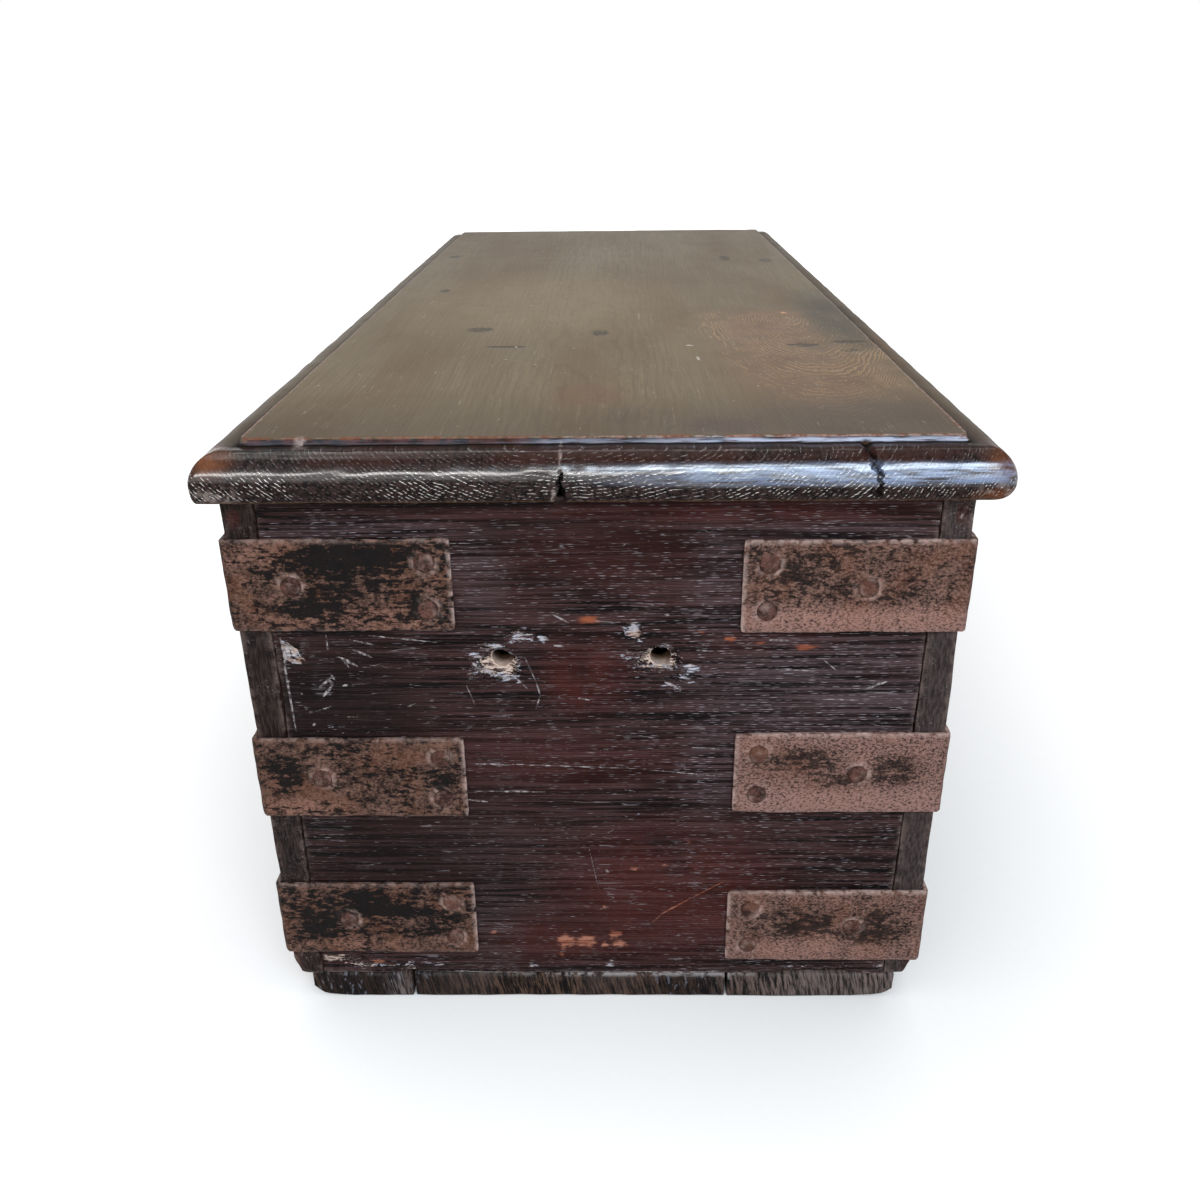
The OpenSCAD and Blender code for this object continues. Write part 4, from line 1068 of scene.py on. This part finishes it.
straight = layer(knot_share * 0.75, grain["Fibres"], (0.5, 0.5, 0.5, 1.0))
top = layer(between(straight, 0.3, 0.7), (107, 91, 66), (119, 102, 74))
gold = knot_share * ((grain["Rings"] * between(cloud(spot, 34), 0.38, 0.6) + grain["Pores"]) * 0.8)
gold *= between(knot_share, 0.45, 0.95)
rippled = cloud(spot, (330, 60, 40), 2)
lit = attribute("rippled") * (between(rippled, 0.4, 0.66) * 0.08 + 0.3)
top = layers(top,
    (between(broad, 0.4, 0.64) * 0.6, (104, 82, 57)),
    (grain["Rings"] * 0.28, (80, 62, 45)),
    (knot_share * 0.38, (90, 66, 50)),
    (gold, (174, 136, 92)),
    (lit, (148, 128, 94)),
    (
        grain["Pores"] * ((between(grain["Pore life"], 0.3, 0.8) - knot_share).clamped() * 0.25),
        (66, 48, 34)),
    (attribute("green") * 0.7, (64, 62, 50)),
    # Painted shade: the top darker towards the near end.
    (between(xyz[0], -0.29, -0.388) * 0.55, (72, 60, 48)),
    (attribute("plum") * 0.6, (78, 62, 60)),
    (attribute("red") * 0.4, (118, 76, 56)))
nose = layer(between(grain["Fibres"], 0.34, 0.66), (12, 8, 8), (50, 37, 34))
reddish = between(xyz[2], 0.2985, 0.3045) * between(cloud(spot, 26), 0.35, 0.6)
# Painted highlight: a bluish white band along the nose on the right of the end.
painted_highlight_band = between(xyz[2], 0.2925, 0.296) * between(xyz[2], 0.304, 0.3005)
painted_highlight_band *= between(xyz[1], 0.02, -0.09)
painted_highlight_band *= between(cloud(spot, (400, 60, 600), 4, 0.7), 0.34, 0.62)
end_face = between(abs(xyz[0]), 0.384, 0.398)
wax_low = (1.0 - between(xyz[2], 0.2965, 0.3025)) * between(xyz[2], 0.286, 0.2915)
wax_crowd = between(cloud(spot, (20, 34, 60)), 0.36, 0.6)
wax_crowd *= 0.45 + between(xyz[1], -0.155, -0.105) * 0.65
wax = grain["Pores"] * end_face * (wax_low * wax_crowd + 0.1)
wax = (wax * 1.6).clamped()
long_edge = 1.0 - end_face
step = attribute("step")
nose = layers(nose,
    (reddish * 0.6, (54, 27, 19)),
    (wax * 0.95, (226, 218, 210)),
    (long_edge * grain["Pores"] * 0.4, (16, 10, 9)),
    (long_edge * 0.6, top),
    (painted_highlight_band * end_face * 0.55, (140, 158, 190)),
    (attribute("brown") * (0.3 + between(cloud(spot, 90, 4), 0.35, 0.6) * 0.5), (118, 70, 42)),
    # Painted shade: the step under the panel's edge is painted near black.
    (step * 0.9, (9, 6, 6)))
colour = layer(panel, nose, top)
bright = attribute("arris") * between(cloud(spot, 130, 4), 0.38, 0.56)
# Painted highlight under the panel's edge.
painted_glint = attribute("painted_glint") * between(cloud(spot, (300, 60, 900), 4), 0.3, 0.56)
# Wear and painted highlight on the lid's edges.
lid_wear_and_highlight = attribute("wear_and_highlight") * between(cloud(spot, 300), 0.4, 0.62)
lines = use(scratched, {"Place": spot, "Scale": (9, 420, 60), "Width": 0.006, "Amount": 0.55})["Lines"]
dots = put("TexVoronoi", {"Vector": spot, "Scale": 52.0, "Randomness": 1.0})
speck = 1.0 - between(dots.outputs["Distance"], 0.025, 0.055)
speck *= between(put("SeparateColor", {0: dots.outputs["Color"]}).outputs[1], 0.45, 0.5)
dented = between(attribute("dent") + (cloud(spot, 260) - 0.5) * 0.7, 0.42, 0.68)
pale_mark = between(attribute("pale") + (cloud(spot, 500) - 0.5) * 0.9, 0.45, 0.6)
pale_tone = layer(between(xyz[0], -0.16, -0.15), (190, 180, 162), (212, 152, 112))
under = attribute("underside")
raw = raw_oak(grain, (66, 46, 33), (100, 74, 54), 0.6, (40, 27, 21))
colour = layers(colour,
    (bright * 0.7, (120, 58, 34)),
    (painted_glint * 0.85, (188, 194, 212)),
    (lid_wear_and_highlight * 0.7, (178, 160, 150)),
    (lines * panel * 0.45, (186, 176, 156)),
    (speck * panel * 0.7, (204, 188, 160)),
    (dented * 0.75, (52, 46, 36)),
    (pale_mark * 0.8, pale_tone),
    (attribute("crack") * 0.9, (10, 6, 6)),
    (under, raw))
rough = (0.33 + broad * 0.22 + under * 0.3).clamped()
height = grain["Fibres"] * 0.25 + grain["Pores"] * -0.35
height += cloud(spot, (30, 90, 90)) * 0.5
height += dented * -0.8
dress(shader, colour, rough, height, 0.0004, 0.75, 0.05)
streaks = between(cloud(spot, (700, 32, 900), 4, 0.65), 0.3, 0.6)
lifted = xyz[2] + between(xyz[1], 0.03, -0.05) * 0.0035
polished = between(lifted, 0.2955, 0.2978) * (0.12 + end_face * 0.88)
polished *= 0.22 + streaks * 0.78
polished *= 1.0 - between(xyz[1], -0.03, -0.1) * 0.3
shoulder = between(xyz[2], 0.302, 0.3045) * between(xyz[1], 0.17, 0.03)
shoulder = 1.0 - (shoulder * 0.7 + between(xyz[2], 0.302, 0.3045) * 0.22)
shoulder += between(xyz[2], 0.3064, 0.3067) * 0.55
polished *= shoulder * (1.0 - step)
polished = (polished * (1.14 - grain["Rings"] * 0.42)).clamped()
feed(put("Mix", {0: panel, 2: polished, 3: 0.11}).outputs[0], shader.inputs["Coat Weight"])
feed(0.17, shader.inputs["Coat Roughness"])
feed(1.8, shader.inputs["Coat IOR"])

low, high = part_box("lid_board")
panel_x, panel_y, top_z, foot_z = 0.3891, 0.1566, high.z, low.z
lid = bmesh.new()
bmesh.ops.create_grid(lid, x_segments=120, y_segments=140, size=1.0)
inset_lines = (0.0, 0.0012, 0.0028, 0.005, 0.008)
for v in lid.verts:
    for axis, half, count in ((0, panel_x, 120), (1, panel_y, 140)):
        step = round((v.co[axis] + 1) / 2 * count)
        from_edge = min(step, count - step)
        sign = -1 if step < count / 2 else 1
        if from_edge < 5:
            gap = inset_lines[from_edge]
        else:
            gap = 0.008 + (half - 0.008) * (from_edge - 4) / (count / 2 - 4)
        v.co[axis] = sign * (half - gap)
    v.co.z = top_z
nose_r, nose_deep, under_r, width = 0.0122, 0.0138, 0.002, 0.0194
nose_z = top_z - 0.003 - nose_deep
moulding = [
    (0.0005, top_z - 0.00015), (0.0008, top_z - 0.0005), (0.0009, top_z - 0.0008),
    (0.001, top_z - 0.0024), (0.0013, top_z - 0.0029), (0.002, top_z - 0.003), (0.005, top_z - 0.00303)]
moulding += [
    (width - nose_r + nose_r * math.sin(a), nose_z + nose_deep * math.cos(a))
    for a in np.radians(np.linspace(0, 90, 13))]
moulding += [
    (width - under_r + under_r * math.cos(a), nose_z - (nose_z - foot_z) * math.sin(a))
    for a in np.radians(np.linspace(9, 90, 10))]
moulding += [
    (width - 0.014, foot_z), (width - 0.022, foot_z), (width - 0.04, foot_z), (width - 0.075, foot_z)]
rim = [e for e in lid.edges if e.is_boundary]
last_out, last_z = 0.0, top_z
for out_by, z in moulding:
    made = bmesh.ops.extrude_edge_only(lid, edges=rim)["geom"]
    fresh = [g for g in made if isinstance(g, bmesh.types.BMVert)]
    rim = [g for g in made if isinstance(g, bmesh.types.BMEdge) and g.is_boundary]
    wider = ((panel_x + out_by) / (panel_x + last_out), (panel_y + out_by) / (panel_y + last_out), 1.0)
    bmesh.ops.scale(lid, vec=wider, verts=fresh)
    bmesh.ops.translate(lid, vec=(0.0, 0.0, z - last_z), verts=fresh)
    last_out, last_z = out_by, z
bmesh.ops.contextual_create(lid, geom=rim)
for v in lid.verts:
    worn_round = 0.003 if v.co.y > 0 else 0.006
    ring_in = max(0.0, min(panel_x + width - abs(v.co.x), panel_y + width - abs(v.co.y)))
    r, edge_x, edge_y = 0.0025, panel_x, panel_y
    if v.co.z < top_z - 0.002:
        r = max(0.0, worn_round - 0.6 * ring_in)
        edge_x, edge_y = panel_x + width - ring_in, panel_y + width - ring_in
    dx, dy = abs(v.co.x) - (edge_x - r), abs(v.co.y) - (edge_y - r)
    if r > 0 and dx > 0 and dy > 0 and math.hypot(dx, dy) > r:
        pull = r / math.hypot(dx, dy)
        v.co.x = math.copysign(edge_x - r + dx * pull, v.co.x)
        v.co.y = math.copysign(edge_y - r + dy * pull, v.co.y)


def near_a_split(c):
    return c.x < near_end and (abs(c.y - split_y) < 0.007 or abs(c.y + 0.115) < 0.009)


near_end, split_y = -0.3835, 0.0175
finer(lid, near_a_split, 2)
for v in lid.verts:
    c = v.co
    on_moulding = max(abs(c.x) - panel_x, abs(c.y) - panel_y)
    sag = 0.00035 * fractal(c, 0.05, 2.0)
    if on_moulding > 0.0005:
        out_x = max(0.0, abs(c.x) - panel_x - 0.006) * math.copysign(1, c.x)
        out_y = max(0.0, abs(c.y) - panel_y - 0.006) * math.copysign(1, c.y)
        out = Vector((out_x, out_y, c.z - nose_z))
        if out.length > 0:
            bite = 0.0003 * (0.3 + fractal(c, 0.012, 5.0)) + 0.0004 * max(0.0, fractal(c, 0.022, 8.0))
            v.co -= out.normalized() * max(0.0, bite)
    elif abs(c.z - top_z) < 0.0001:
        v.co.z -= abs(sag)
    corner = math.exp(-(math.hypot(c.x + 0.4085, c.y + 0.176) / 0.03) ** 2)
    if corner > 0.01 and c.z < nose_z:
        low_share = min(1.0, (nose_z - c.z) / (nose_z - foot_z))
        v.co.y += 0.0045 * corner * (1 - math.sqrt(1 - low_share ** 2))
    if c.x < near_end:
        drop = max(0.0, min(1.0, (0.3005 - c.z) / 0.0142))
        gap = abs(c.y - split_y - 0.0006 * math.sin(c.z * 900))
        half = 0.0005 + 0.002 * drop
        if drop > 0 and gap < half:
            deep = 0.0105 * drop ** 0.6 * (1 - (gap / half) ** 1.5)
            v.co.x += deep * 0.9
            v.co.z += deep * 0.35 * drop
        upper = max(0.0, min(1.0, (c.z - 0.287) / 0.004)) * max(0.0, min(1.0, (0.3085 - c.z) / 0.002))
        middle = -0.113 - 0.004 * max(0.0, min(1.0, (0.307 - c.z) / 0.01)) + 0.0007 * math.sin(c.z * 1300)
        gap = abs(c.y - middle)
        half = 0.001 + 0.0016 * max(0.0, min(1.0, (c.z - 0.296) / 0.008))
        if upper > 0 and gap < half and on_moulding > 0.001:
            deep = 0.0032 * upper * (1 - (gap / half) ** 1.5)
            v.co.x += deep * 0.75
            v.co.z -= deep * 0.55 if c.z > 0.2955 else -deep * 0.3
piece = as_piece(lid, "lid_board_oak", ["lid_board"], "lid", lid_oak, 35.0)
at = places_of(piece)
to_rim = np.minimum(panel_x - np.abs(at[:, 0]), panel_y - np.abs(at[:, 1]))
on_top = at[:, 2] > top_z - 0.0012
mark(piece, "panel", (on_top & (to_rim > -0.0008)).astype(float))
mark(
    piece, "arris",
    np.where(at[:, 2] > top_z - 0.003, np.exp(-(to_rim / 0.0009) ** 2), 0.0)
        * np.clip((-0.3 - at[:, 0]) / 0.08 + 0.35, 0.35, 1))
# The step under the panel's edge, painted near black as a painted shade.
mark(
    piece, "step",
    (to_rim < -0.0007) * (at[:, 2] < top_z - 0.0007) * np.clip((0.0058 + to_rim) / 0.003, 0, 1))
# Wear and painted highlight: pale lines along the panel's edges, stronger on the right of the end, and
# worn spots at the corners.
step_line = (
    np.exp(-((at[:, 2] - (top_z - 0.0003)) / 0.0003) ** 2) * (to_rim < 0.0005) * (to_rim > -0.0016))
below = top_z - at[:, 2]
# Painted highlight: a bright line under the panel's edge, strongest on the right of the end.
mark(
    piece, "painted_glint",
    (to_rim < 0.0004) * (to_rim > -0.0012) * (np.abs(at[:, 1]) < panel_y)
        * np.clip((below - 0.0008) / 0.0004, 0, 1) * np.clip((0.0034 - below) / 0.0008, 0, 1)
        * np.interp(at[:, 1], [-0.155, -0.06, -0.02, 0.02, 0.05], [1.0, 0.95, 0.5, 0.4, 0.12]))
side_line = np.exp(-((panel_y - np.abs(at[:, 1])) / 0.0006) ** 2) * (at[:, 2] > top_z - 0.0009) * 0.55
mark(piece, "wear_and_highlight", np.maximum(
    np.maximum(side_line, step_line * np.where(at[:, 1] < 0.02, 0.7, 0.25)),
    soft_spots(at, [
        ((-0.3985, 0.0174, 0.304), (0.014, 0.0005, 0.009), 0.7),
        ((-0.392, 0.13, 0.309), (0.006, 0.0018, 0.004), 1.0),
        ((-0.398, 0.0205, 0.289), (0.012, 0.0032, 0.01), 1.0),
        ((-0.402, -0.17, 0.291), (0.012, 0.012, 0.003), 0.6),
        ((-0.404, 0.165, 0.29), (0.01, 0.01, 0.004), 0.5)])))
mark(piece, "brown", soft_spots(at, [
    ((-0.402, 0.17, 0.304), (0.014, 0.012, 0.006), 0.9),
    ((-0.402, -0.17, 0.303), (0.016, 0.01, 0.006), 0.5),
    ((-0.402, -0.168, 0.289), (0.012, 0.012, 0.003), 0.6)]))
y, z = at[:, 1], at[:, 2]
low_gap = (
    np.abs(y - split_y - 0.0006 * np.sin(z * 900))
    / (0.0004 + 0.0016 * np.clip((0.3005 - z) / 0.0142, 0, 1)))
high_gap = (
    np.abs(y + 0.113 + 0.004 * np.clip((0.307 - z) / 0.01, 0, 1) - 0.0007 * np.sin(z * 1300)) / 0.0011)
mark(
    piece, "crack",
    (at[:, 0] < -0.3905)
        * np.maximum(
            np.clip(1.4 - low_gap, 0, 1) * (z < 0.2985),
            np.clip(1.5 - high_gap, 0, 1) * (z > 0.288) * (z < 0.3075)))
mark(piece, "underside", np.clip((foot_z + 0.0012 - at[:, 2]) / 0.001, 0, 1))
lid_spots = {
    "green": [(-112.5, -148, 85, 18, 1), (-360, -125, 30, 40, 0.4)],
    "plum": [(-373.6, -54.5, 14, 20, 0.9), (-360, -20, 20, 20, 0.3), (-375, -100, 50, 70, 0.42)],
    "red": [(-318.6, 6.4, 22, 16, 0.6), (-160, -100, 70, 30, 0.6), (-270, -100, 70, 40, 0.5)],
    "rippled": [(-50, 45, 120, 85, 1), (-170, -60, 70, 30, 0.5)],
    "dent": [
        (-153, 79, 10, 11, 0.7), (-204, 58, 5, 13, 0.9), (-166, 3.5, 12, 7, 0.7),
        (-205, -115, 7, 12, 0.75), (-198, -143.5, 6, 12, 0.85), (-222, -140, 7, 12, 0.6),
        (166, -103, 20, 6, 0.7), (151, -137, 16, 9, 0.6), (189, 140, 12, 6, 0.7), (-1, 122, 9, 5, 0.7),
        (-170, -70, 20, 5, 0.5)],
    "pale": [
        (-206, -49.3, 3, 3.5, 0.8), (-238, -51.3, 8, 1.4, 0.8), (-103.5, -118.1, 4.5, 1.8, 0.9),
        (-204, 52, 3, 2, 0.7)]}
for label, places in lid_spots.items():
    mark(piece, label, flat_spots(at, 2, top_z, 0.01, places))
